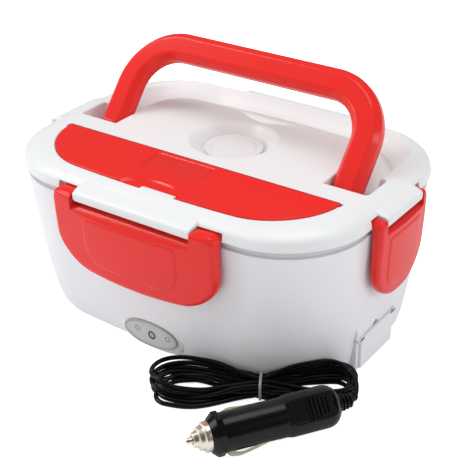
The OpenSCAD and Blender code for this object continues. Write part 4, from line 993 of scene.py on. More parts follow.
# ---- base
@dataclass
class Base:
    """The white base: its wall, lamp pad, inlet housing and the ledges that the latches snap behind."""

    wall: float = 2.4
    lamp_z: float = 11.0
    lamp_x: float = 1.2
    badge_a: float = 20.0
    badge_b: float = 8.5
    inlet_y: float = -9.0
    flap_w: float = 38.0
    flap_h: float = 21.6
    housing_x: float = 113.4

    @property
    def pad_y(self) -> float:
        """Distance of the lamp pad's face from the middle, as the base's taper gives it."""
        return SIZE.lid_b - SIZE.rim_in - SIZE.foot_in_front * SIZE.taper(self.lamp_z) + 0.6

    @property
    def lay(self) -> Matrix:
        """Brings a piece that stands on the Z axis onto the lamp's axis, facing the front."""
        return shift(0, 0, self.lamp_z) @ rotation(90, "X")

    def build(self) -> None:
        """Makes the shell, the badge, the flap and the liner's smooth walls."""
        self.shell()
        self.badge()
        self.flap()
        self.well()

    def shell(self) -> None:
        """The base's moulding."""
        f, rim = SIZE.foot_z, SIZE.rim_z
        foot = spline([(2.4, f), (1.35, f + 0.28), (0.55, f + 1.0), (0.12, f + 1.9), (0.0, f + 2.6)], 4)
        walls = [(0.0, z) for z in np.linspace(f + 3.6, rim - 0.6, 44)]
        lip = [(0.0, rim - 0.5), (0.04, rim - 0.3), (0.15, rim - 0.12), (0.45, rim)]
        w = self.wall
        inside = [(w, rim), (w, 60.0), (w, 30.0), (w, 5.6), (14.0, 5.6), (14.0, 3.4), (5.0, 3.4), (5.0, f)]
        rows = [tuple(r) for r in foot] + walls + lip + inside
        solid = Solid.loft([at_height(SIZE.base(inset, z).points(), z) for inset, z in rows], looped=True)
        solid.joined(self.pad(), self.housing(), *self.ledges(), *self.bosses())
        solid.cut(*self.cuts())
        solid.piece("base_wall", WHITE_PP, "base", "white_plastic", "base_shell")

    def pad(self) -> Solid:
        """Oval swelling low on the front that carries the badge.

        Returns:
            The swelling.
        """
        rows = spline([(9.0, self.pad_y - 5.2), (6.6, self.pad_y - 3.6), (4.8, self.pad_y - 1.9),
                       (3.2, self.pad_y - 0.7), (1.7, self.pad_y - 0.15), (0.9, self.pad_y)], 4)
        plan = ellipse(self.badge_a, self.badge_b, 96)
        solid = Solid.pillar(plan, [(9.0, self.pad_y - 9.0)] + [tuple(q) for q in rows])
        solid.moved(shift(0, 0, self.lamp_z + 0.4) @ rotation(90, "X"))
        return solid.cut(Solid.block((-60, -120, -30), (60, -20, SIZE.foot_z)))

    def housing(self) -> Solid:
        """Housing of the inlet on the right side, with a sloped top.

        Returns:
            The housing.
        """
        x, f, h = self.housing_x, SIZE.foot_z, self.flap_h + 11
        outline = [(x - 9, f), (x - 0.4, f), (x, f + 0.4), (x, f + h - 6.6), (x - 0.3, f + h - 5.2),
                   (x - 2.2, f + h - 0.6), (x - 3.2, f + h), (x - 9, f + h)]
        solid = Solid.bar(outline, (self.flap_w + 5) / 2, 1.1)
        return solid.moved(shift(0, self.inlet_y, 0) @ Side.RIGHT.turn)

    def ledges(self) -> list[Solid]:
        """Ledges under the rim, one on each side.

        Returns:
            The ledges.
        """
        made = []
        for side, half in ((Side.FRONT, 30), (Side.RIGHT, 14), (Side.BACK, 30), (Side.LEFT, 14)):
            d = SIZE.wall_at(side, 0) - SIZE.rim_in
            outline = [(d - 2.2, 82.7), (d + 0.9, 82.7), (d + 1.3, 83.1), (d + 1.3, 84.3), (d - 0.4, 85.1),
                       (d - 2.2, 85.1)]
            made.append(Solid.bar(outline, half, 0.8).moved(side.turn))
        return made

    def bosses(self) -> list[Solid]:
        """Ears that the flap's pins sit in.

        Returns:
            The ears.
        """
        made, x = [], self.housing_x
        for s in (-1, 1):
            y = self.inlet_y + s * (self.flap_w / 2 + 1.75)
            outline = [(x - 1, 20.4), (x + 1.0, 20.4), (x + 1.9, 21.0), (x + 1.9, 22.0), (x + 1.2, 23.0),
                       (x - 1, 23.6)]
            made.append(Solid.bar(outline, 1.5, 0.4).moved(shift(0, y, 0) @ Side.RIGHT.turn))
        return made

    def cuts(self) -> list[Solid]:
        """What is taken from the base: the badge's seat, the lamp's hole, the inlet's opening and a small round
        pocket above the flap.

        Returns:
            The solids to take away.
        """
        seat = Solid.pillar(ellipse(self.badge_a + 0.25, self.badge_b + 0.25, 96),
                            [(0, self.pad_y), (0, self.pad_y + 8)]).moved(self.lay)
        lamp = Solid.turned([(3.0, self.pad_y - 14), (3.0, self.pad_y + 1)], 48)
        lamp.moved(self.lay @ shift(self.lamp_x, 0, 0))
        inlet = Solid.block((99, self.inlet_y - 13, 4.2), (120, self.inlet_y + 13, 20.2))
        nail = Solid.turned([(0, -1.5), (2.4, -1.5), (2.9, 1.5), (0, 1.5)], 32)
        nail.moved(shift(self.housing_x, self.inlet_y, SIZE.foot_z + self.flap_h)
                   @ rotation(90, "Y"))
        return [seat, lamp, inlet, nail]

    def badge(self) -> None:
        """The oval badge with its rim, film and printed rings, and the lamp's lens."""
        y, lay, aside = self.pad_y, self.lay, shift(self.lamp_x, 0, 0)
        plan = ellipse(self.badge_a, self.badge_b, 96)
        rim = Solid.pillar(plan, [(0, y), (0, y + 0.9), (-0.12, y + 1.2), (-0.45, y + 1.4), (-1.0, y + 1.4),
                                  (-1.3, y + 1.1), (-1.3, y + 0.8)])
        rim.cut(Solid.turned([(3.05, y - 2), (3.05, y + 3)], 48).moved(aside)).moved(lay)
        rim.piece("badge_rim", BADGE_RIM, "base", "badge_metal", "indicator_badge")
        film = Solid.pillar(plan, [(-1.35, y + 0.7), (-1.35, y + 1.12), (-1.5, y + 1.22)])
        film.cut(Solid.turned([(1.9, y - 2), (1.9, y + 3)], 48).moved(aside)).moved(lay)
        film.piece("badge_film", SILVER_FILM, "base", "badge_metal", "indicator_badge")
        t = np.linspace(0, 2 * math.pi, 48, endpoint=False)
        for name, x, z, r, w, finish in (("lamp_ring", self.lamp_x, 0.0, 2.8, 0.95, DARK_INK),
                                         ("left_ring", -9.6, 1.4, 1.8, 0.45, PALE_INK),
                                         ("right_ring", 13.2, 1.4, 1.8, 0.45, PALE_INK)):
            rings = [np.column_stack([x + q * np.cos(t), np.full(48, -h), self.lamp_z + z + q * np.sin(t)])
                     for q, h in ((r - w, y + 1.15), (r, y + 1.15), (r, y + 1.27), (r - w, y + 1.27))]
            Solid.loft(rings, looped=True).piece(name, finish, "base", "badge_metal", "indicator_badge")
        lens = Solid.turned([(0, y + 0.6), (1.8, y + 0.6), (1.8, y + 1.15), (1.5, y + 1.3), (0.9, y + 1.42),
                             (0, y + 1.46)], 48).moved(aside).moved(lay)
        lens.piece("lamp_lens", CLEAR_PC, "base", "lens_plastic", "indicator_lens")

    def flap(self) -> None:
        """The inlet's flap, a rounded plate with a finger notch at its foot."""
        x0 = self.housing_x + 0.05
        z0, z1 = SIZE.foot_z + 0.6, SIZE.foot_z + self.flap_h - 0.05
        plan = rounded(self.flap_w / 2, (z1 - z0) / 2, 1.0, 6)
        rows = [(-0.1, 0.0), (0.0, 0.1), (0.0, 0.5), (-0.08, 0.9), (-0.25, 1.3), (-0.5, 1.52), (-0.8, 1.65)]
        solid = Solid.pillar(plan, rows)
        solid.moved(shift(x0, self.inlet_y, (z0 + z1) / 2)
                    @ rotation(90, "Y") @ rotation(90, "Z"))
        notch = Solid.block((x0 + 1.3, self.inlet_y - 7, z0 - 1), (x0 + 4, self.inlet_y + 7, z0 + 1.4))
        solid.cut(notch).piece("flap_plate", WHITE_PP, "inlet_flap", "white_plastic", "inlet_flap")

    def well(self) -> None:
        """The well liner: the grey flange in the groove, the shelf and the tapered well."""
        lid_z, rim = SIZE.lid_z, SIZE.rim_z
        flange = Plan(SIZE.lid_a - 3.2, SIZE.lid_b - 3.2, SIZE.lid_r - 3.2)
        mouth = Plan(SIZE.lid_a - SIZE.rim_in - 6.0, SIZE.lid_b - SIZE.rim_in - 5.8, SIZE.lid_r - SIZE.rim_in - 6)
        top = Plan(mouth.a - 7.3, mouth.b - 8, mouth.r - 5)
        foot = Plan(97.6, 66.0, 36.0)
        rows = [(flange, 0.0, rim), (flange, 0.0, lid_z - 0.5), (flange, -0.2, lid_z - 0.3),
                (mouth, 0.4, lid_z - 0.3), (mouth, 0.0, lid_z - 0.7), (mouth, 0.0, rim - 8.2),
                (mouth, -0.5, rim - 8.7), (top, 0.6, rim - 8.7), (top, 0.1, rim - 9.1)]
        rows += [(top.towards(foot, t), 0.0, rim - 8.7 - (rim - 8.7 - 17.0) * t)
                 for t in np.linspace(0.04, 0.97, 14)]
        rows += [(foot, -0.8, 17.5), (foot, -2.4, 17.0), (foot, -2.4, 15.0), (foot, 1.4, 15.4)]
        rows += [(top.towards(foot, t), 2.0, rim - 8.7 - (rim - 8.7 - 17.0) * t)
                 for t in np.linspace(0.9, 0.1, 8)]
        rows += [(top, 2.0, rim - 10.7), (mouth, 2.0, rim - 10.7), (mouth, 2.0, rim)]
        solid = Solid.loft([at_height(plan.grown(g).points(), z) for plan, g, z in rows], looped=True)
        floor = Solid.loft([at_height(foot.grown(-2.0).points(), z) for z in (15.0, 17.0)])
        solid.joined(floor).piece("well_wall", GREY_PP, "base", "grey_plastic", "well_liner")


# ---- lid
COVER_PLAN = Plan(SIZE.lid_a - 19.3, SIZE.lid_b - 12.7, SIZE.lid_r - 7)


@dataclass
class Lid:
    """The white lid: shoulder, tongues, handle channel with its platform, spoon tray and steam vent."""

    platform_a: float = 76.4
    platform_b: float = 49.1
    platform_r: float = 23.6
    channel_a: float = 98.1
    channel_b: float = 72.5
    channel_r: float = 44.0
    channel_floor: float = 91.4
    pocket_front: float = -11.0
    pocket_back: float = 12.0
    vent_y: float = 10.2
    nest: Plan = field(default_factory=lambda: Plan(109.5, 78.2, 38.5))

    def build(self) -> None:
        """Makes the lid's pieces."""
        self.shell()
        self.pins()
        self.vent_cap()

    def outside(self) -> Solid:
        """The lid's outer body, with its rounded shoulder.

        Returns:
            The body.
        """
        z, top = SIZE.lid_z, SIZE.top_z
        rows = spline([(0.35, z), (0.0, z + 0.5), (0.3, z + 2.6), (1.0, z + 5.4), (2.8, top - 2.9),
                       (6.0, top - 1.3), (11.0, top - 0.3), (17.0, top)], 4)
        plan = Plan(SIZE.lid_a, SIZE.lid_b, SIZE.lid_r)
        return Solid.loft([at_height(plan.grown(-i).points(), h) for i, h in rows])

    def hollow(self) -> Solid:
        """Groove under the shoulder, between the outer wall and the nesting wall.

        Returns:
            The groove.
        """
        z, top = SIZE.lid_z, SIZE.top_z
        plan = Plan(SIZE.lid_a, SIZE.lid_b, SIZE.lid_r)
        rows = [(2.4, z - 1), (3.4, top - 6.3), (6.9, top - 3.7), (8.3, top - 3.7), (8.3, z - 1)]
        solid = Solid.loft([at_height(plan.grown(-i).points(), h) for i, h in rows], looped=True)
        for side in Side:
            d = SIZE.wall_at(side, 0)
            half = SIZE.latch_half[side.value % 2] + 3
            solid.cut(Solid.bar([(d - 9.5, z - 2), (d + 2, z - 2), (d + 2, top), (d - 9.5, top)], half)
                      .moved(side.turn))
        return solid.cut(self.channel(2.4))

    def channel(self, wider: float) -> Solid:
        """Room of the folded handle, with its wall sloping out at the back.

        Args:
            wider: Distance by which the room grows.

        Returns:
            The room.
        """
        floor, top = self.channel_floor - wider, SIZE.top_z
        rows = [(-inset, -inset, 0.0, floor + up) for up, inset in quarter(3.2, 6)[:-1]]
        run = spline([(0.0, 0.0, 0.0, floor + 3.2), (0.9, 3.4, 0.5, floor + 6.4), (2.0, 7.8, 1.0, top - 4.5),
                      (2.6, 14.0, 1.0, top - 1.0), (3.2, 22.5, 1.0, top + 2.0)], 5)
        rings = []
        for da, db, dr, z in rows + [tuple(r) for r in run]:
            flare = 0.0
            if z > top - 1.6:
                flare = 1.4 - math.sqrt(max(0.0, 1.4 ** 2 - min(z - top + 1.6, 1.4) ** 2))
            plan = Plan(self.channel_a + da + flare + wider, self.channel_b + db + wider,
                        self.channel_r + dr + wider)
            rings.append(at_height(plan.points(), z))
        solid = Solid.loft(rings)
        y = self.pocket_front - wider
        keep = np.array([(130, 130), (-130, 130), (-130, y), (130, y)])
        levels = [(1.3 - math.sqrt(1.3 ** 2 - q ** 2), top - 1.3 + q) for q in (0.3, 0.6, 0.9, 1.15, 1.3)]
        return solid.kept(Solid.pillar(keep, [(0.0, floor - 5), (0.0, top - 1.3)] + levels + [(1.3, top + 9)]))

    def platform(self) -> Solid:
        """Raised field between the handle's legs, with a finger scoop in its back edge.

        Returns:
            The field.
        """
        a, b, r = self.platform_a, self.platform_b, self.platform_r
        rows: Rows = [(-a, -30.0), (a, -30.0)] + arc(a - r, b - r, r, 0, 90, 14)
        for x in np.linspace(26.0, -26.0, 33):
            rows.append((x, b - 8.4 * math.cos(math.pi * x / 52) ** 2))
        rows += arc(r - a, b - r, r, 90, 180, 14)
        plan = np.array(rows)
        floor, top = self.channel_floor, SIZE.top_z
        levels = [(2.2, floor - 2)] + [(out, floor + up) for up, out in quarter(2.2, 5)]
        levels += [(-inset, top - down) for inset, down in quarter(1.1, 5)] + [(-1.1, top + 9)]
        return Solid.pillar(plan, levels)

    def pockets(self) -> list[Solid]:
        """Deep pockets that the handle's legs stand in.

        Returns:
            The pockets.
        """
        made = []
        floor, top = self.channel_floor, SIZE.top_z
        for s in (-1, 1):
            half = (SIZE.lid_a - 13 - self.platform_a) / 2
            plan = rounded(half + 4, (self.pocket_back - self.pocket_front) / 2, 2.2, 6)
            plan = plan + (s * (self.platform_a + half - 4), (self.pocket_back + self.pocket_front) / 2)
            levels = [(0.0, floor), (0.0, top - 1.3), (0.1, top - 0.75), (0.35, top - 0.35), (0.8, top - 0.08),
                      (1.3, top), (1.3, top + 9)]
            made.append(Solid.pillar(plan, levels))
        return made

    def room(self) -> Solid:
        """Everything that the handle and the fingers need, less the platform."""
        return self.channel(0.0).joined(*self.pockets()).cut(self.platform())

    def cover_room(self) -> Solid:
        """Recess of the spoon cover over the deeper tray, less the tab in the thumb notch.

        Returns:
            The recess.
        """
        top = SIZE.top_z
        plan = COVER_PLAN
        seat = clipped(plan.grown(0.4).points(), SIZE.cover_back + 0.4)
        tray = clipped(plan.grown(-4).points(), SIZE.cover_back + 0.4)
        solid = Solid.pillar(seat, [(0, top - 1.6), (0, top - 0.5), (0.1, top - 0.2), (0.5, top), (0.5, top + 9)])
        z = SIZE.lid_z
        solid.joined(Solid.pillar(tray, [(-2.0, z - 3.4), (-0.6, z - 2.8), (0, z - 1.4), (0, top)]))
        solid.joined(Solid.block((-99.6, -31.8, top - 3.1), (99.6, -27.8, top + 9)))
        tab = np.array([(-7.2, -80), (18.0, -80), (17.0, -71.0), (-6.2, -71.0)])
        levels = [(0, 80), (0, top - 0.5), (-0.1, top - 0.2), (-0.5, top), (-0.5, top + 12)]
        return solid.cut(Solid.pillar(tab, levels))

    def vent_room(self) -> Solid:
        """Round recess of the steam vent, with a soft rim, and its hole.

        Returns:
            The recess.
        """
        top = SIZE.top_z
        rows = [(0, top - 7), (19.4, top - 7), (20.4, top - 6.7), (21.1, top - 5.9), (22.5, top - 4.3),
                (24.3, top - 2.4), (26.0, top - 0.95), (27.3, top - 0.28), (28.6, top), (28.6, top + 4)]
        smooth = spline(rows[1:9], 3)
        solid = Solid.turned([rows[0]] + [tuple(r) for r in smooth] + [rows[9]], 112)
        solid.joined(Solid.turned([(3.0, 80), (3.0, top - 6)], 40))
        return solid.moved(shift(0, self.vent_y, 0))

    def tongue(self, side: Side) -> Solid:
        """Lip that stands between the ears of a latch.

        Args:
            side: The latch's side.

        Returns:
            The lip.
        """
        d, z = SIZE.wall_at(side, 0), SIZE.lid_z
        outline = [(d - 9, z), (d - 2, z), (d - 1.2, z - 0.8)]
        outline += arc(d + 4.3, z + 0.7, 1.5, -90, -10, 5) + [(d + 5.95, z + 2.0)]
        outline += arc(d + 3.9, z + 3.3, 2.1, 0, 72, 5)
        outline += [(d + 1.5, z + 6.7), (d - 3, SIZE.top_z - 2.4), (d - 9, SIZE.top_z - 1.4)]
        return Solid.bar(outline, SIZE.tongue_half[side.value % 2], 1.6).moved(side.turn)

    def ear_rooms(self) -> list[Solid]:
        """Recesses beside each tongue for the ears of the latches.

        Returns:
            The recesses.
        """
        made = []
        for side in Side:
            outer, inner = SIZE.latch_half[side.value % 2], SIZE.tongue_half[side.value % 2]
            e = SIZE.wall_at(side, (outer + inner) / 2)
            for s in (-1, 1):
                plan = [(e - 3.8, SIZE.lid_z - 2), (e + 20, SIZE.lid_z - 2), (e + 20, SIZE.lid_z + 5.2),
                        (e - 3.0, SIZE.lid_z + 5.2), (e - 3.8, SIZE.lid_z + 4.4)]
                ear = Solid.bar(plan, (outer - inner) / 2 + 0.5)
                made.append(ear.moved(side.turn @ shift(s * (outer + inner) / 2, 0, 0)))
        return made

    def shell(self) -> None:
        """The lid's moulding."""
        solid = self.outside().cut(self.hollow())
        solid.joined(Solid.loft([at_height(self.nest.grown(g).points(), z) for g, z in
                                 ((-0.4, 86.6), (0.0, 87.0), (0.0, SIZE.lid_z + 2))]))
        solid.joined(*(self.tongue(side) for side in Side))
        solid.cut(self.room(), self.cover_room(), self.vent_room(), *self.ear_rooms())
        # The lid's white is the darker copy of the base's, a painted shade against the light on its top
        solid.piece("lid_body", LID_PP_PAINTED_SHADE, "lid", "white_plastic", "lid_shell", sharp=30)

    def pins(self) -> None:
        """The handle's pivots, which are pressed into the platform and reach into each leg."""
        start, end = self.platform_a - 2.6, SIZE.leg_x + 6.0
        rows = [(0, start), (1.9, start), (1.9, end - 0.4), (1.5, end), (0, end)]
        pins = [Solid.turned(rows, 32).moved(shift(*SIZE.pivot) @ rotation(90 * s, "Y")) for s in (-1, 1)]
        pins[0].joined(pins[1]).piece("handle_pivots", ZINC_STEEL, "lid", "screw_steel", "handle_pins")

    def vent_cap(self) -> None:
        """The vent's cap, a flat disc with a shallow ring and a dome, on its stem."""
        z = SIZE.top_z - 6.7
        rows = [(2.5, 88.5), (2.5, z), (18.0, z), (18.4, z + 0.3), (18.5, z + 0.9), (18.3, z + 1.35),
                (17.7, z + 1.6), (14.9, z + 1.62), (14.5, z + 1.3), (13.9, z + 1.3), (13.5, z + 1.62),
                (6.0, z + 1.66), (0.0, z + 1.68)]
        solid = Solid.turned(rows, 96).moved(shift(0, self.vent_y, 0))
        solid.piece("vent_disc", NATURAL_PP, "vent_cap", "white_plastic", "vent_cap")


# ---- spoon cover
@dataclass
class SpoonCover:
    """The red cover over the spoon tray, with a bare recessed rectangle and a thumb notch."""

    thick: float = 2.2

    def build(self) -> None:
        """Makes the cover."""
        top = SIZE.top_z + 0.6
        plan = COVER_PLAN
        outline = clipped(plan.points(), SIZE.cover_back)
        solid = Solid.pillar(outline, [(-0.2, top - self.thick), (0, top - self.thick + 0.2)]
                             + [(-inset, top - down) for inset, down in quarter(0.7, 5)])
        solid.joined(Solid.turned([(1.6, -98.6), (1.6, 98.6)], 32).moved(
            shift(0, SIZE.cover_back - 1.6, top - 1.6) @ rotation(90, "Y")))
        notch = np.array([(-7.6, -80), (18.4, -80), (17.6, -72.6), (16.8, -71.4), (15.8, -71.2), (-5.0, -71.2),
                          (-6.0, -71.4), (-6.8, -72.6)])
        dip = Solid.pillar(ellipse(22.5, 12.4, 96), [
            (-9.0, -1.75), (-3.2, -1.6), (-1.6, -1.2), (-0.6, -0.5), (-0.1, -0.05), (0.1, 0.0), (0.3, 3)])
        dip.moved(shift(0.0, -74.6, top))
        patch = rounded(20.8, 9.9, 1.2, 5) + (-4.2, -41.4)
        sink = Solid.pillar(patch, [(-0.5, top - 0.5), (0.1, top - 0.06), (0.4, top + 3)])
        solid.cut(Solid.pillar(notch, [(0, 95), (0, 120)]), dip, sink)
        floor = Solid.pillar(patch, [(-0.55, top - 0.8), (-0.55, top - 0.44)])
        floor.piece("cover_field", RED_SATIN, "spoon_cover", "red_plastic", "spoon_cover")
        solid.piece("cover_plate", RED_ABS, "spoon_cover", "red_plastic", "spoon_cover", sharp=28)


# ---- latches
@dataclass
class Latch:
    """A red latch: two ears above a bowed panel with round lower corners, hollow behind."""

    side: Side
    wall: float = 2.5
    touch: float = 0.3

    def __post_init__(self) -> None:
        """Picks the sizes of the long or the short side."""
        i = self.side.value % 2
        self.half, self.inner = SIZE.latch_half[i], SIZE.tongue_half[i]
        self.proud, self.bow, self.foot, self.foot_bow, self.corner = (
            (9.5, 3.5, 47.3, 5.0, 25.0), (7.0, 1.2, 45.0, 2.0, 24.0))[i]
        self.ear_top = SIZE.lid_z + (4.2 if self.side in (Side.FRONT, Side.RIGHT) else 2.9)
        self.d = SIZE.wall_at(self.side, 0)

    def face(self, u: Array, z: Array, deep: float) -> Array:
        """Distance of the outer face, at points along and up, less a depth."""
        t = np.logaddexp(0.0, (SIZE.rim_z - 1.0 - z) / 3.5) * 3.5 / SIZE.rim_z
        drop = (SIZE.foot_in_front if self.side.is_long else SIZE.foot_in_side) * (0.7 * t + 0.3 * t ** 5)
        return self.d - drop + self.proud - deep - self.bow * (u / self.half) ** 2

    def on_face(self, points: Array, deep: float) -> Array:
        """Brings points along and up onto the outer face, less a depth."""
        return np.column_stack([points[:, 0], -self.face(points[:, 0], points[:, 1], deep), points[:, 1]])

    @staticmethod
    def ring(a: float, low: float, high: float, radii: Pair,
             steps: tuple[int, int, int, int, int]) -> Rows:
        """Points against the clock round a shield with small upper and large lower corners.

        Args:
            a: Half width.
            low: Height of the lower edge.
            high: Height of the upper edge.
            radii: Upper and lower corner radius.
            steps: Steps of an upper corner, the upper edge, a side, a lower corner and the lower edge.

        Returns:
            Rows of along and up.
        """
        (top_r, r), (top_steps, top_edge, side, low_steps, low_edge) = radii, steps
        rows = arc(a - top_r, high - top_r, top_r, 0, 90, top_steps)
        rows += [(x, high) for x in np.linspace(a - top_r, top_r - a, top_edge)[1:-1]]
        rows += arc(top_r - a, high - top_r, top_r, 90, 180, top_steps)
        rows += [(-a, z) for z in np.linspace(high - top_r, low + r, side)[1:-1]]
        rows += arc(r - a, low + r, r, 180, 270, low_steps)
        rows += [(x, low) for x in np.linspace(r - a, a - r, low_edge)[1:-1]]
        rows += arc(a - r, low + r, r, 270, 360, low_steps)
        return rows + [(a, z) for z in np.linspace(low + r, high - top_r, side)[1:-1]]

    def outline(self, inset: float) -> Array:
        """The latch as seen from outside, drawn in by a distance.

        Args:
            inset: The distance.

        Returns:
            Rows of along and up.
        """
        h, foot, r = self.half - inset, self.foot + inset, self.corner - inset
        top_r = max((5.4 if self.side.is_long else 4.4) - inset * 0.5, 0.6)
        rows = self.ring(h, foot, self.ear_top - inset, (top_r, r), (7, 22, 8, 18, 16))
        return np.array([(x, z + self.foot_bow * (x / h) ** 2 * max(0.0, 1 - (z - foot) / r)) for x, z in rows])

    def skin(self, rows: Rows, back: float) -> Solid:
        """A closed solid behind the bowed face.

        Args:
            rows: (inset, depth) from the side wall to the face.
            back: Distance of the flat back from the middle of the box.

        Returns:
            The solid.
        """
        rings = [upright(self.outline(rows[0][0]), -back)]
        rings += [self.on_face(self.outline(inset), deep) for inset, deep in rows]
        last, deep = self.outline(rows[-1][0]), rows[-1][1]
        mid = np.array([0.0, (self.foot + self.ear_top) / 2])
        for t in (0.975, 0.95, 0.92, 0.88, 0.84, 0.79, 0.73, 0.66, 0.58, 0.5, 0.4, 0.3, 0.2, 0.1, 0.04, 0.01):
            rings.append(self.on_face(mid + (last - mid) * t, deep))
        return Solid.loft(rings)

    def build(self) -> None:
        """Makes the latch on the front and turns it to its side."""
        z, d = SIZE.lid_z, self.d
        r = 3.2 if self.side.is_long else 2.6
        solid = self.skin([(0.0, r + 1.5)] + quarter(r, 8), d - 12)
        solid.cut(self.behind(self.touch))
        hollow = self.skin([(self.wall, self.wall + 1.0), (self.wall + 0.3, self.wall + 0.3),
                            (self.wall + 1.0, self.wall)], d - 30)
        hollow.cut(Solid.block((-80, -200, SIZE.lid_z - 4.3 - 5 - self.wall), (80, 0, 140)),
                   Solid.block((-80, -200, 80.4), (80, -40, 82.4)))
        solid.cut(hollow)
        solid.joined(self.hook())
        for s in (-1, 1):
            solid.joined(self.ear(s))
        notch = [(d - 20, z - 3.4), (d + 4.2, z - 3.4), (d + 5.4, z - 3.8), (d + 12, z - 9.8), (d + 12, 210),
                 (d - 20, 210)]
        solid.cut(Solid.bar(notch, self.inner + 0.5))
        solid.joined(self.panel())
        solid.moved(self.side.turn)
        name = self.side.name.lower()
        solid.piece(f"latch_{name}_body", RED_ABS, f"latch_{name}", "red_plastic", f"latch_{name}", sharp=30)

    def behind(self, gap: float) -> Solid:
        """What lies behind the latch: the lid's side, untapered, grown by a gap.

        Args:
            gap: The gap.

        Returns:
            The room to take away.
        """
        u = np.linspace(-70, 70, 57)
        wall = np.array([SIZE.wall_at(self.side, x) for x in u])
        parts = []
        for front, low, high in ((wall + gap, 0, SIZE.lid_z + 0.4), (wall - 3.2, 10, 140)):
            plan = np.column_stack([np.concatenate([u, u[::-1]]),
                                    np.concatenate([-front, np.full(len(u), -(self.d - 40))])])
            parts.append(Solid.loft([at_height(plan, low), at_height(plan, high)]))
        return parts[0].joined(parts[1])

    def hook(self) -> Solid:
        """Bar that snaps under the ledge of the base."""
        half = 28.0 if self.side.is_long else 12.0
        d = self.d
        return Solid.bar([(d + 0.3, 80.4), (d + 5, 80.4), (d + 5, 82.4), (d + 0.6, 82.4), (d + 0.3, 82.1)], half)

    def ear(self, s: int) -> Solid:
        """One ear, reaching into the recess of the lid beside the tongue.

        Args:
            s: One for the right ear, minus one for the left.

        Returns:
            The ear.
        """
        z, half = SIZE.lid_z, (self.half - self.inner - 0.5) / 2
        e = SIZE.wall_at(self.side, (self.half + self.inner) / 2)
        top = self.ear_top
        plan = [(e - 2.8, z + 0.6), (e + 0.2, z + 0.2), (e + 3.4, z - 1)] + [(e + 3.4, top - 0.4)]
        plan += [(e + 3.0, top)] + arc(e - 2.8 + 1.8, top - 1.8, 1.8, 90, 180, 6)
        solid = Solid.bar(plan, half, 1.4).moved(shift(s * (self.half + self.inner + 0.5) / 2, 0, 0))
        seen = self.outline(0.0)
        return solid.kept(Solid.loft([upright(seen, -(self.d - 30)), upright(seen, -(self.d + 30))]))

    def panel(self) -> Solid:
        """Shallow raised field on the face, with a rounded edge.

        Returns:
            The field.
        """
        a, low, high, r = (32.8, 57.0, 86.8, 14.0) if self.side.is_long else (17.6, 53.0, 86.6, 12.0)
        plan = np.array(self.ring(a, low, high, (1.6, r), (4, 18, 6, 14, 12)))
        mid = np.array([0.0, (low + high) / 2])
        rings = [self.on_face(mid + (grown(plan, 0.7) - mid) * 0.5, 2.0)]
        rings += [self.on_face(grown(plan, off), deep)
                  for off, deep in ((0.7, 2.0), (0.7, 0.1), (0.3, -0.22), (-0.2, -0.42), (-0.8, -0.5))]
        last = grown(plan, -0.8)
        rings += [self.on_face(mid + (last - mid) * t, -0.5)
                  for t in (0.95, 0.9, 0.82, 0.72, 0.6, 0.48, 0.36, 0.24, 0.12, 0.02)]
        return Solid.loft(rings)


# ---- geometry nodes
class Recipe:
    """A Geometry Nodes tree with named inputs, which ends in Realize Instances and Set Material."""

    def __init__(self, name: str) -> None:
        """Starts the tree with its group input.

        Args:
            name: Name of the tree and of its object.
        """
        self.name = name
        self.tree = bpy.data.node_groups.new(name, "GeometryNodeTree")
        self.group = self.tree.nodes.new("NodeGroupInput")
        self.values: dict[str, object] = {}

    def size(self, name: str, value: object, kind: str = "Float") -> Socket:
        """Adds a named input and its value.

        Args:
            name: The input's name.
            value: The value that the modifier is given.
            kind: The socket's type, without its prefix.

        Returns:
            The socket inside the tree.
        """
        made = self.tree.interface.new_socket(name, in_out="INPUT", socket_type=f"NodeSocket{kind}")
        self.values[made.identifier] = value
        return next(s for s in self.group.outputs if s.identifier == made.identifier)

    def lengths(self, rows: dict[str, float]) -> list[Socket]:
        """Adds an input for each named length, given in millimetres."""
        return [self.size(name, value * MM) for name, value in rows.items()]

    def node(self, kind: str, inputs: dict | None = None, **settings: object) -> Socket:
        """Adds a node to the tree, whose kind may leave out GeometryNode, and gives its first output."""
        return add(self.tree, kind if "Node" in kind else "GeometryNode" + kind, inputs, **settings).outputs[0]

    def solid(self, geometry: Socket, finish: Finish) -> Solid:
        """Closes the tree, evaluates it and takes the plain mesh as a solid in millimetres.

        Args:
            geometry: The geometry to show.
            finish: Its material.

        Returns:
            The solid, without its modifier.
        """
        finish_in = self.size("Material", finish.material(), "Material")
        whole = self.node("RealizeInstances", {0: geometry})
        painted = self.node("SetMaterial", {"Geometry": whole, "Material": finish_in})
        self.tree.interface.new_socket("Geometry", in_out="OUTPUT", socket_type="NodeSocketGeometry")
        add(self.tree, "NodeGroupOutput", {0: painted})
        obj = in_scene(self.name, bpy.data.meshes.new(self.name))
        step = obj.modifiers.new(self.name, "NODES")
        step.node_group = self.tree
        for key, value in self.values.items():
            step[key] = value
        solid = Solid(flattened(obj)).mended(0.001 * MM)
        return solid.moved(Matrix.Scale(1 / MM, 4))


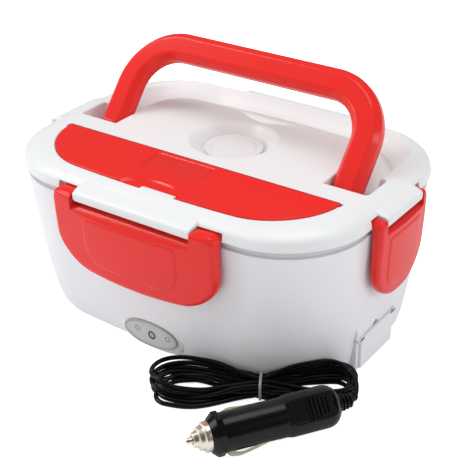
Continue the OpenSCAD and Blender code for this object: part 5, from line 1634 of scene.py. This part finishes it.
# ---- handle
@dataclass
class Handle:
    """The red carrying handle: a flattened octagonal bar bent twice, leaning back on its pivots."""

    height: float = 58.4
    bend_r: float = 31.5
    width: float = 18.4
    thick: float = 14.0
    facet: float = 4.0
    soft: float = 2.4
    lean: float = 40.4
    pin_r: float = 2.05

    def build(self) -> None:
        """Sweeps the bar with Geometry Nodes, closes its ends round and sets it at its lean."""
        solid = self.bow().moved(rotation(90, "X"))
        for s in (-1, 1):
            leg = shift(s * SIZE.leg_x, 0, 0)
            solid.joined(Solid.turned(self.end_rows(), 64).moved(leg @ rotation(90, "Y")))
            hole = Solid.turned([(self.pin_r, -12), (self.pin_r, 6.2)], 32)
            solid.cut(hole.moved(leg @ rotation(90 * s, "Y")))
        solid.moved(shift(*SIZE.pivot) @ rotation(-self.lean, "X"))
        solid.piece("carry_handle", RED_ABS, "handle", "red_plastic", "handle", sharp=40)

    def bow(self) -> Solid:
        """The bar as a sweep of a twice rounded rectangle along a path with two bends.

        Returns:
            The bar, lying in the XY plane.
        """
        recipe = Recipe("handle_bow")
        x, h, bend, width, thick, facet, soft = recipe.lengths({
            "Leg distance": SIZE.leg_x, "Height": self.height, "Bend radius": self.bend_r, "Width": self.width,
            "Thickness": self.thick, "Facet": self.facet * 0.98, "Edge radius": self.soft})
        minus = recipe.node("ShaderNodeMath", {0: x, 1: -1.0}, operation="MULTIPLY")
        corners = {f"Point {i + 1}": recipe.node("ShaderNodeCombineXYZ", {0: across, 1: along})
                   for i, (across, along) in enumerate(((minus, 0.0), (minus, h), (x, h), (x, 0.0)))}
        path = recipe.node("CurvePrimitiveQuadrilateral", corners, mode="POINTS")
        path = recipe.node("SetSplineCyclic", {0: path, "Cyclic": False})
        section = recipe.node("CurvePrimitiveQuadrilateral", {"Width": width, "Height": thick})
        path, once = (recipe.node("FilletCurve", {
            "Curve": curve, "Radius": radius, "Count": count, "Limit Radius": True}, mode="POLY")
            for curve, radius, count in ((path, bend, 28), (section, facet, 1)))
        twice = recipe.node("FilletCurve", {
            "Curve": once, "Radius": soft, "Count": 5, "Limit Radius": True}, mode="POLY")
        level = recipe.node("SetCurveNormal", {"Curve": path}, mode="Z_UP")
        return recipe.solid(recipe.node("CurveToMesh", {
            "Curve": level, "Profile Curve": twice, "Fill Caps": True}), RED_ABS)

    def end_rows(self) -> Rows:
        """Rows of the round end: half of the bar's section, turned about the pivot.

        Returns:
            Rows of (radius, height).
        """
        w, t, c = self.width / 2, self.thick / 2, self.facet
        k = 0.55
        half = [(t - c - k, -w), (t - c + k * 0.5, -w + k * 0.55), (t - k * 0.7, -w + c - k * 0.6),
                (t, -w + c + k)]
        return [(0.0, -w)] + half + [(r, -z) for r, z in reversed(half)] + [(0.0, w)]


# ---- plug
# Swaps X and Z, for a part that is drawn as a pillar and belongs on the plug's side
Z_TO_X = Matrix(((0, 0, 1, 0), (0, 1, 0, 0), (1, 0, 0, 0), (0, 0, 0, 1)))


@dataclass
class Plug:
    """The lighter plug of the lead and the small connector behind it."""

    tip: Point = PLUG_TIP
    turn: float = PLUG_TURN
    barrel_r: float = 11.0
    grip_r: float = 11.8
    contact_turn: float = -45.0
    flat_turns: tuple[int, int] = (45, 225)

    @property
    def place(self) -> Matrix:
        """Brings a piece that stands on the Z axis onto the plug's axis, from its tip."""
        return shift(*self.tip) @ rotation(self.turn, "Z") @ rotation(90, "Y")

    def build(self) -> list[Piece]:
        """Makes the plug's pieces.

        Returns:
            The pieces that go with the cord.
        """
        made = [self.shell(), self.nose(), self.point(), self.spring(), self.boot()]
        made += [self.contact("upper", 180, 1.0), self.contact("lower", 0, 2.7)]
        return made + [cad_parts["plug_fuse"]]

    def shell(self) -> Piece:
        """The black body with its collar, contact slots, side panel and grip ribs.

        Returns:
            The piece.
        """
        r, g = self.barrel_r, self.grip_r
        rows = [(0, 14), (8.0, 14), (9.0, 15), (r, 17), (r, 20.4), (r, 36.0), (r, 54.4), (r + 0.12, 55.6),
                (r + 0.5, 57.2), (g - 0.06, 58.4), (g, 59.6), (g, 70.0), (g, 80.0), (g - 0.25, 81.6),
                (g - 0.9, 83.4), (g - 2.2, 85.2), (7.9, 86.6), (7.0, 87), (0, 87)]
        solid = Solid.turned(rows, 96)
        collar = Solid.turned([(0, 13), (9.0, 13), (9.3, 13.2), (12.1, 16.2), (12.3, 16.6), (12.3, 19.4),
                               (12.0, 19.8), (0, 19.9)], 8)
        solid.joined(collar.moved(rotation(14, "Z")))
        for a in (0, 180):
            turn = rotation(self.contact_turn + a, "Z")
            slot = Solid.pillar(rounded(3.4, 2.3, 0.5, 4) + (r + 0.4, 0), [(0, 20.4), (0, 50.6)])
            solid.cut(slot.moved(turn))
        for a in self.flat_turns:
            flat = Solid.pillar(rounded(14.2, 9.0, 4.0, 8) + (69.2, 0), [(0, 9.4), (0, 12.5), (0.5, 16)])
            sunk = Solid.pillar(rounded(5.7, 6.1, 0.6, 4) + (61.4, 0), [(-0.2, 8.95), (0, 9.1), (0, 16)])
            for part in (flat, sunk):
                solid.cut(part.moved(rotation(a, "Z") @ Z_TO_X).mended())
        bore = Solid.turned([(4.15, 12.0), (4.15, 16.1), (3.4, 16.2), (3.4, 50.5)], 48)
        solid.cut(self.ribs(), bore)
        return solid.moved(self.place).piece("plug_shell", BLACK_ABS, "base", "black_plastic", "plug_body")

    def ribs(self) -> Solid:
        """Grooves of the grip, as blocks on two sides, with Geometry Nodes.

        Returns:
            The blocks, to be cut away.
        """
        recipe = Recipe("grip_grooves")
        count = recipe.size("Grooves", 5, "Int")
        taper = recipe.size("Length lost per groove", -0.07)
        size = recipe.size("Groove size", (1.7 * MM, 12.4 * MM, 1.3 * MM), "Vector")
        pitch, start, reach = recipe.lengths({"Pitch": 2.35, "Start": 68.6, "Distance": 9.45})
        block = recipe.node("MeshCube", {"Size": size})
        line = recipe.node("MeshLine", {
            "Count": count, "Start Location": recipe.node("ShaderNodeCombineXYZ", {0: reach, 2: start}),
            "Offset": recipe.node("ShaderNodeCombineXYZ", {2: pitch})})
        index = recipe.node("InputIndex")
        long = recipe.node("ShaderNodeMath", {0: index, 1: taper, 2: 1.0}, operation="MULTIPLY_ADD")
        row = recipe.node("InstanceOnPoints", {
            "Points": line, "Instance": block,
            "Scale": recipe.node("ShaderNodeCombineXYZ", {0: 1.0, 1: long, 2: 1.0})})
        sides = [recipe.node("Transform", {"Geometry": row, "Rotation": (0, 0, math.radians(a))})
                 for a in self.flat_turns]
        return recipe.solid(recipe.node("JoinGeometry", {0: sides}), BLACK_ABS)

    def nose(self) -> Piece:
        """The stepped ring at the nose.

        Returns:
            The piece.
        """
        rows = [(2.3, 4), (3.9, 4), (4.2, 4.3), (4.75, 6.4), (5.0, 6.7), (6.1, 6.95), (6.45, 7.3), (6.75, 9.2),
                (7.0, 9.6), (7.9, 9.9), (8.25, 10.3), (8.3, 10.8), (8.3, 12.6), (8.2, 13), (4.1, 13), (4.1, 16),
                (3.2, 16), (3.2, 7), (2.3, 7)]
        solid = Solid.turned(rows, 80, looped=True).moved(self.place)
        return solid.piece("plug_ring", NICKEL, "base", "contact_nickel", "plug_nose", sharp=50)

    def point(self) -> Piece:
        """The sprung centre contact.

        Returns:
            The piece.
        """
        rows = [(0, 0), (0.7, 0.1), (1.2, 0.45), (1.6, 1.0), (1.85, 1.7), (1.9, 2.4), (1.9, 7.4), (2.8, 7.4),
                (2.8, 10), (0, 10)]
        solid = Solid.turned(rows, 48).moved(self.place)
        return solid.piece("plug_point", NICKEL, "plug_tip", "contact_nickel", "plug_tip", sharp=50)

    def spring(self) -> Piece:
        """The spring behind the centre contact, wound with Geometry Nodes.

        Returns:
            The piece.
        """
        recipe = Recipe("point_spring")
        turns = recipe.size("Turns", 4.0)
        radius, long, wire = recipe.lengths({"Coil radius": 2.2, "Length": 8.2, "Wire radius": 0.33})
        coil = recipe.node("CurveSpiral", {
            "Resolution": 20, "Rotations": turns, "Start Radius": radius, "End Radius": radius, "Height": long})
        section = recipe.node("CurvePrimitiveCircle", {"Resolution": 8, "Radius": wire})
        solid = recipe.solid(recipe.node("CurveToMesh", {
            "Curve": coil, "Profile Curve": section, "Fill Caps": True}), ZINC_STEEL)
        solid.moved(self.place @ shift(0, 0, 10.4))
        return solid.piece("point_spring", ZINC_STEEL, "base", "screw_steel", "tip_spring")

    def contact(self, name: str, a: float, bow: float) -> Piece:
        """A bowed leaf that stands out of its slot.

        Args:
            name: Which one.
            a: Its angle round the plug.
            bow: How far it stands out of the plug.

        Returns:
            The leaf.
        """
        r = self.barrel_r
        k = bow - 2.7
        top = spline([(r - 1.4, 27.0), (r - 0.2, 24.0), (r + 0.9 + k * 0.5, 19.0), (r + 2.1 + k, 12.5),
                      (r + bow, 7.5), (r + 2.4 + k, 4.0), (r + 1.2 + k, 1.4), (r - 1.0, 0.4)], 4)
        section = [*top] + [(r - 2.6, 0.4), (r - 0.7 + k, 2.6), (r + 0.7 + k, 5.0), (r + 1.1 + k, 8.0),
                         (r + 0.5 + k, 12.5), (r - 0.6 + k * 0.5, 19.0), (r - 1.7, 24.0), (r - 2.9, 27.0)]
        p = np.array(section)
        rings = [upright(grown(p[::-1], off)[::-1] + (0, 20.6), y)
                 for y, off in ((-2.1, -0.15), (-1.95, 0.0), (1.95, 0.0), (2.1, -0.15))]
        solid = Solid.loft(rings).moved(self.place @ rotation(self.contact_turn + a, "Z"))
        return solid.piece(f"contact_{name}_leaf", CONTACT, "base", "contact_nickel", f"contact_{name}", sharp=40)

    def boot(self) -> Piece:
        """The tapered strain relief with its rings, repeated with Geometry Nodes.

        Returns:
            The piece.
        """
        solid = Solid.turned([(0, 84), (3.0, 84), (3.0, 87), (4.4, 87), (3.7, 90.6), (3.0, 94.0), (2.6, 96.2),
                              (2.4, 96.6), (0, 96.6)], 48)
        solid.joined(self.rings())
        solid.moved(self.place)
        return solid.piece("plug_strain_relief", BLACK_PVC, "base", "black_plastic", "plug_boot", sharp=45)

    def rings(self) -> Solid:
        """The relief's rings, each narrower than the last, with Geometry Nodes.

        Returns:
            The rings.
        """
        recipe = Recipe("relief_rings")
        count = recipe.size("Rings", 4, "Int")
        pitch, start, first, step, bead = recipe.lengths({
            "Pitch": 2.2, "Start": 88.4, "First radius": 4.75, "Step": -0.42, "Bead radius": 0.68})
        line = recipe.node("MeshLine", {
            "Count": count, "Start Location": recipe.node("ShaderNodeCombineXYZ", {2: start}),
            "Offset": recipe.node("ShaderNodeCombineXYZ", {2: pitch})})
        index = recipe.node("InputIndex")
        wide = recipe.node("ShaderNodeMath", {0: index, 1: step, 2: first}, operation="MULTIPLY_ADD")
        ring = recipe.node("CurvePrimitiveCircle", {"Resolution": 48, "Radius": 1.0})
        row = recipe.node("InstanceOnPoints", {
            "Points": line, "Instance": ring,
            "Scale": recipe.node("ShaderNodeCombineXYZ", {0: wide, 1: wide, 2: 1.0})})
        loose = recipe.node("RealizeInstances", {0: row})
        section = recipe.node("CurvePrimitiveCircle", {"Resolution": 10, "Radius": bead})
        return recipe.solid(recipe.node("CurveToMesh", {
            "Curve": loose, "Profile Curve": section}), BLACK_PVC)

    def connector(self) -> None:
        """The connector that fits the inlet, with its own strain relief."""
        place = shift(*self.tip[:2], 4.4) @ rotation(self.turn, "Z") @ shift(34, 17, 0) @ rotation(90, "Y")
        rows = [(1.1, -9.5), (2.45, -9.5), (2.75, -9.2), (2.75, -0.2), (3.6, 0), (4.1, 0.4), (4.2, 1.0),
                (4.2, 12), (4.2, 19.2), (4.0, 19.8), (3.5, 20), (0.9, 20), (0.9, 0.0), (1.1, 0.0)]
        solid = Solid.turned(rows, 56, looped=True).moved(place)
        solid.piece("connector_shell", BLACK_ABS, "base", "black_plastic", "lead_connector")
        relief = Solid.turned([(0, 20), (3.0, 20), (3.2, 20.3), (2.6, 24.5), (2.0, 28.4), (1.8, 29), (0, 29)], 40)
        relief.moved(place).piece("connector_relief", BLACK_PVC, "base", "black_plastic", "connector_boot")


# ---- lower parts and plain nodes
@dataclass
class Inside:
    """Everything that keeps its CAD mesh and only needs its finish, by finish."""

    finishes: dict[str, Finish] = field(default_factory=lambda: {
        "bottom_cover": WHITE_PP, "heating_plate": PLATE_ALUMINIUM, "ptc_heater": BRASS_FOIL,
        "heater_clamp": ZINC_STEEL, "clamp_screws": ZINC_STEEL, "thermostat": BLACK_ABS,
        "heater_wires": WIRE_SLEEVE, "inlet_socket": BLACK_ABS, "inlet_pin": ZINC_STEEL, "flap_pins": ZINC_STEEL,
        "indicator_led": CLEAR_PC, "food_container": NATURAL_PP, "lid_liner": GREY_PP, "lid_seal": SEAL_SILICONE,
        "spoon": NATURAL_PP, "cover_pins": ZINC_STEEL, "latch_pins": ZINC_STEEL,
        "plug_fuse": ZINC_STEEL, "rubber_feet": FOOT_RUBBER, "bottom_screws": ZINC_STEEL})

    def build(self) -> None:
        """Assigns each node's finish."""
        for name, finish in self.finishes.items():
            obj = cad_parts[name]
            for spot in obj.material_slots:
                spot.material = finish.material()
            LOG.info("%s: %s", name, finish.name)


# ---- stage
WHITE = (1.0, 1.0, 1.0, 1.0)


@dataclass
class Studio:
    """White floor, world, soft lamps and the camera.

    soft_boxes gives each lamp's name, place and side in metres and power in watts. They face middle.
    """

    target: Point = (-0.001, 4.70, 40.966)
    distance: float = 731.222
    azimuth: float = 35.39
    elevation: float = 29.194
    roll: float = -0.782
    lens: float = 88.25
    ambient: float = 0.6
    floor_lift: float = 0.85
    reflected: Pair = (0.13, 0.10)
    middle: Point = (0.0, -0.02, 0.05)
    soft_boxes: tuple[tuple[str, Point, float, float], ...] = (
        ("key", (-1.0, -0.35, 1.35), 0.5, 5.3), ("overhead", (0.1, 0.2, 1.5), 0.8, 6.0),
        ("left_box", (-1.4, -0.9, 0.7), 0.7, 6.8), ("right_box", (1.5, 0.1, 0.8), 0.5, 3.6))

    def build(self) -> None:
        """Sets the camera, the world, the floor and the lamps."""
        self.camera()
        self.world()
        self.floor()
        self.lamps()
        bpy.context.scene.view_settings.view_transform = "Standard"

    def camera(self) -> None:
        """The camera, looking at the target from its angles."""
        data = bpy.data.cameras.new("camera")
        data.lens, data.sensor_fit, data.sensor_width = self.lens, "AUTO", 36.0
        data.clip_start, data.clip_end = 0.05, 20.0
        made = in_scene("camera", data)
        made.matrix_world = (shift(*(Vector(self.target) * MM)) @ rotation(self.azimuth, "Z")
                             @ rotation(90 - self.elevation, "X") @ rotation(self.roll, "Z")
                             @ shift(0, 0, self.distance * MM))
        bpy.context.scene.camera = made

    @staticmethod
    def rays(tree: bpy.types.NodeTree) -> tuple[bpy.types.Node, Socket]:
        """Adds the light path, and whether a ray comes straight from the camera or through glass."""
        path = add(tree, "ShaderNodeLightPath")
        return path, add(tree, "ShaderNodeMath", {0: path.outputs["Is Camera Ray"], 1: path.outputs[
            "Is Transmission Ray"]}, operation="MAXIMUM").outputs[0]

    def world(self) -> None:
        """White to the camera, a plain soft light to everything else."""
        made = bpy.data.worlds.new("white_room")
        bpy.context.scene.world = made
        made.use_nodes = True
        tree = made.node_tree
        tree.nodes.clear()
        path, direct = self.rays(tree)
        level = add(tree, "ShaderNodeMapRange", {"Value": direct, "To Min": self.ambient, "To Max": 1.0})
        light = add(tree, "ShaderNodeBackground", {"Color": WHITE, "Strength": level.outputs["Result"]})
        # In reflections the room is white along the backdrop's height and dim above it, as behind the lamps
        way = add(tree, "ShaderNodeTexCoord").outputs["Generated"]
        height = add(tree, "ShaderNodeSeparateXYZ", {0: way}).outputs["Z"]
        fall = add(tree, "ShaderNodeMapRange", {
            "Value": height, "From Min": 0.02, "From Max": 0.35, "To Min": self.reflected[0],
            "To Max": self.reflected[1]})
        seen = add(tree, "ShaderNodeBackground", {"Color": WHITE, "Strength": fall.outputs["Result"]})
        both = add(tree, "ShaderNodeMixShader", {
            0: path.outputs["Is Glossy Ray"], 1: light.outputs[0], 2: seen.outputs[0]})
        add(tree, "ShaderNodeOutputWorld", {"Surface": both.outputs[0]})

    def floor(self) -> None:
        """The pale floor, which glows for the camera and keeps the shadow of what stands on it."""
        made = bpy.data.materials.new("white_floor")
        made.use_nodes = True
        tree = made.node_tree
        tree.nodes.clear()
        lift = add(tree, "ShaderNodeMath", {0: self.rays(tree)[1], 1: self.floor_lift}, operation="MULTIPLY")
        place = add(tree, "ShaderNodeTexCoord").outputs["Object"]
        drift = add(tree, "ShaderNodeTexNoise", {"Vector": place, "Scale": 3.0})
        tint = add(tree, "ShaderNodeMix", {0: drift.outputs["Fac"], 6: linear("#F6F6F7"), 7: linear("#F4F4F5")},
                   data_type="RGBA")
        matt = add(tree, "ShaderNodeBsdfDiffuse", {"Color": tint.outputs[2]})
        glow = add(tree, "ShaderNodeEmission", {"Color": WHITE, "Strength": lift.outputs[0]})
        both = add(tree, "ShaderNodeAddShader", {0: matt.outputs[0], 1: glow.outputs[0]})
        add(tree, "ShaderNodeOutputMaterial", {"Surface": both.outputs[0]})
        mesh = bpy.data.meshes.new("floor")
        corners = [(x, y, -0.0002) for x, y in ((-6, -6), (6, -6), (6, 6), (-6, 6))]
        mesh.from_pydata(corners, [], [(0, 1, 2, 3)])
        mesh.materials.append(made)
        plate = in_scene("floor", mesh)

    def lamps(self) -> None:
        """Square soft boxes that face the object."""
        for name, at, size, power in self.soft_boxes:
            data = bpy.data.lights.new(name, "AREA")
            data.shape, data.size, data.energy = "SQUARE", size, power
            look = (Vector(at) - Vector(self.middle)).to_track_quat("Z", "Y")
            in_scene(name, data).matrix_world = shift(*at) @ look.to_matrix().to_4x4()


def main() -> None:
    """Builds the scene in order."""
    logging.basicConfig(level=logging.INFO, format="%(name)s %(message)s")
    Studio().build()
    lead = Lead()
    cord = lead.build()
    plug = Plug()
    plug.build()
    plug.connector()
    Base().build()
    Lid().build()
    SpoonCover().build()
    Handle().build()
    for side in Side:
        Latch(side).build()
    Inside().build()
    bpy.context.view_layer.update()


if __name__ == "__main__":
    main()
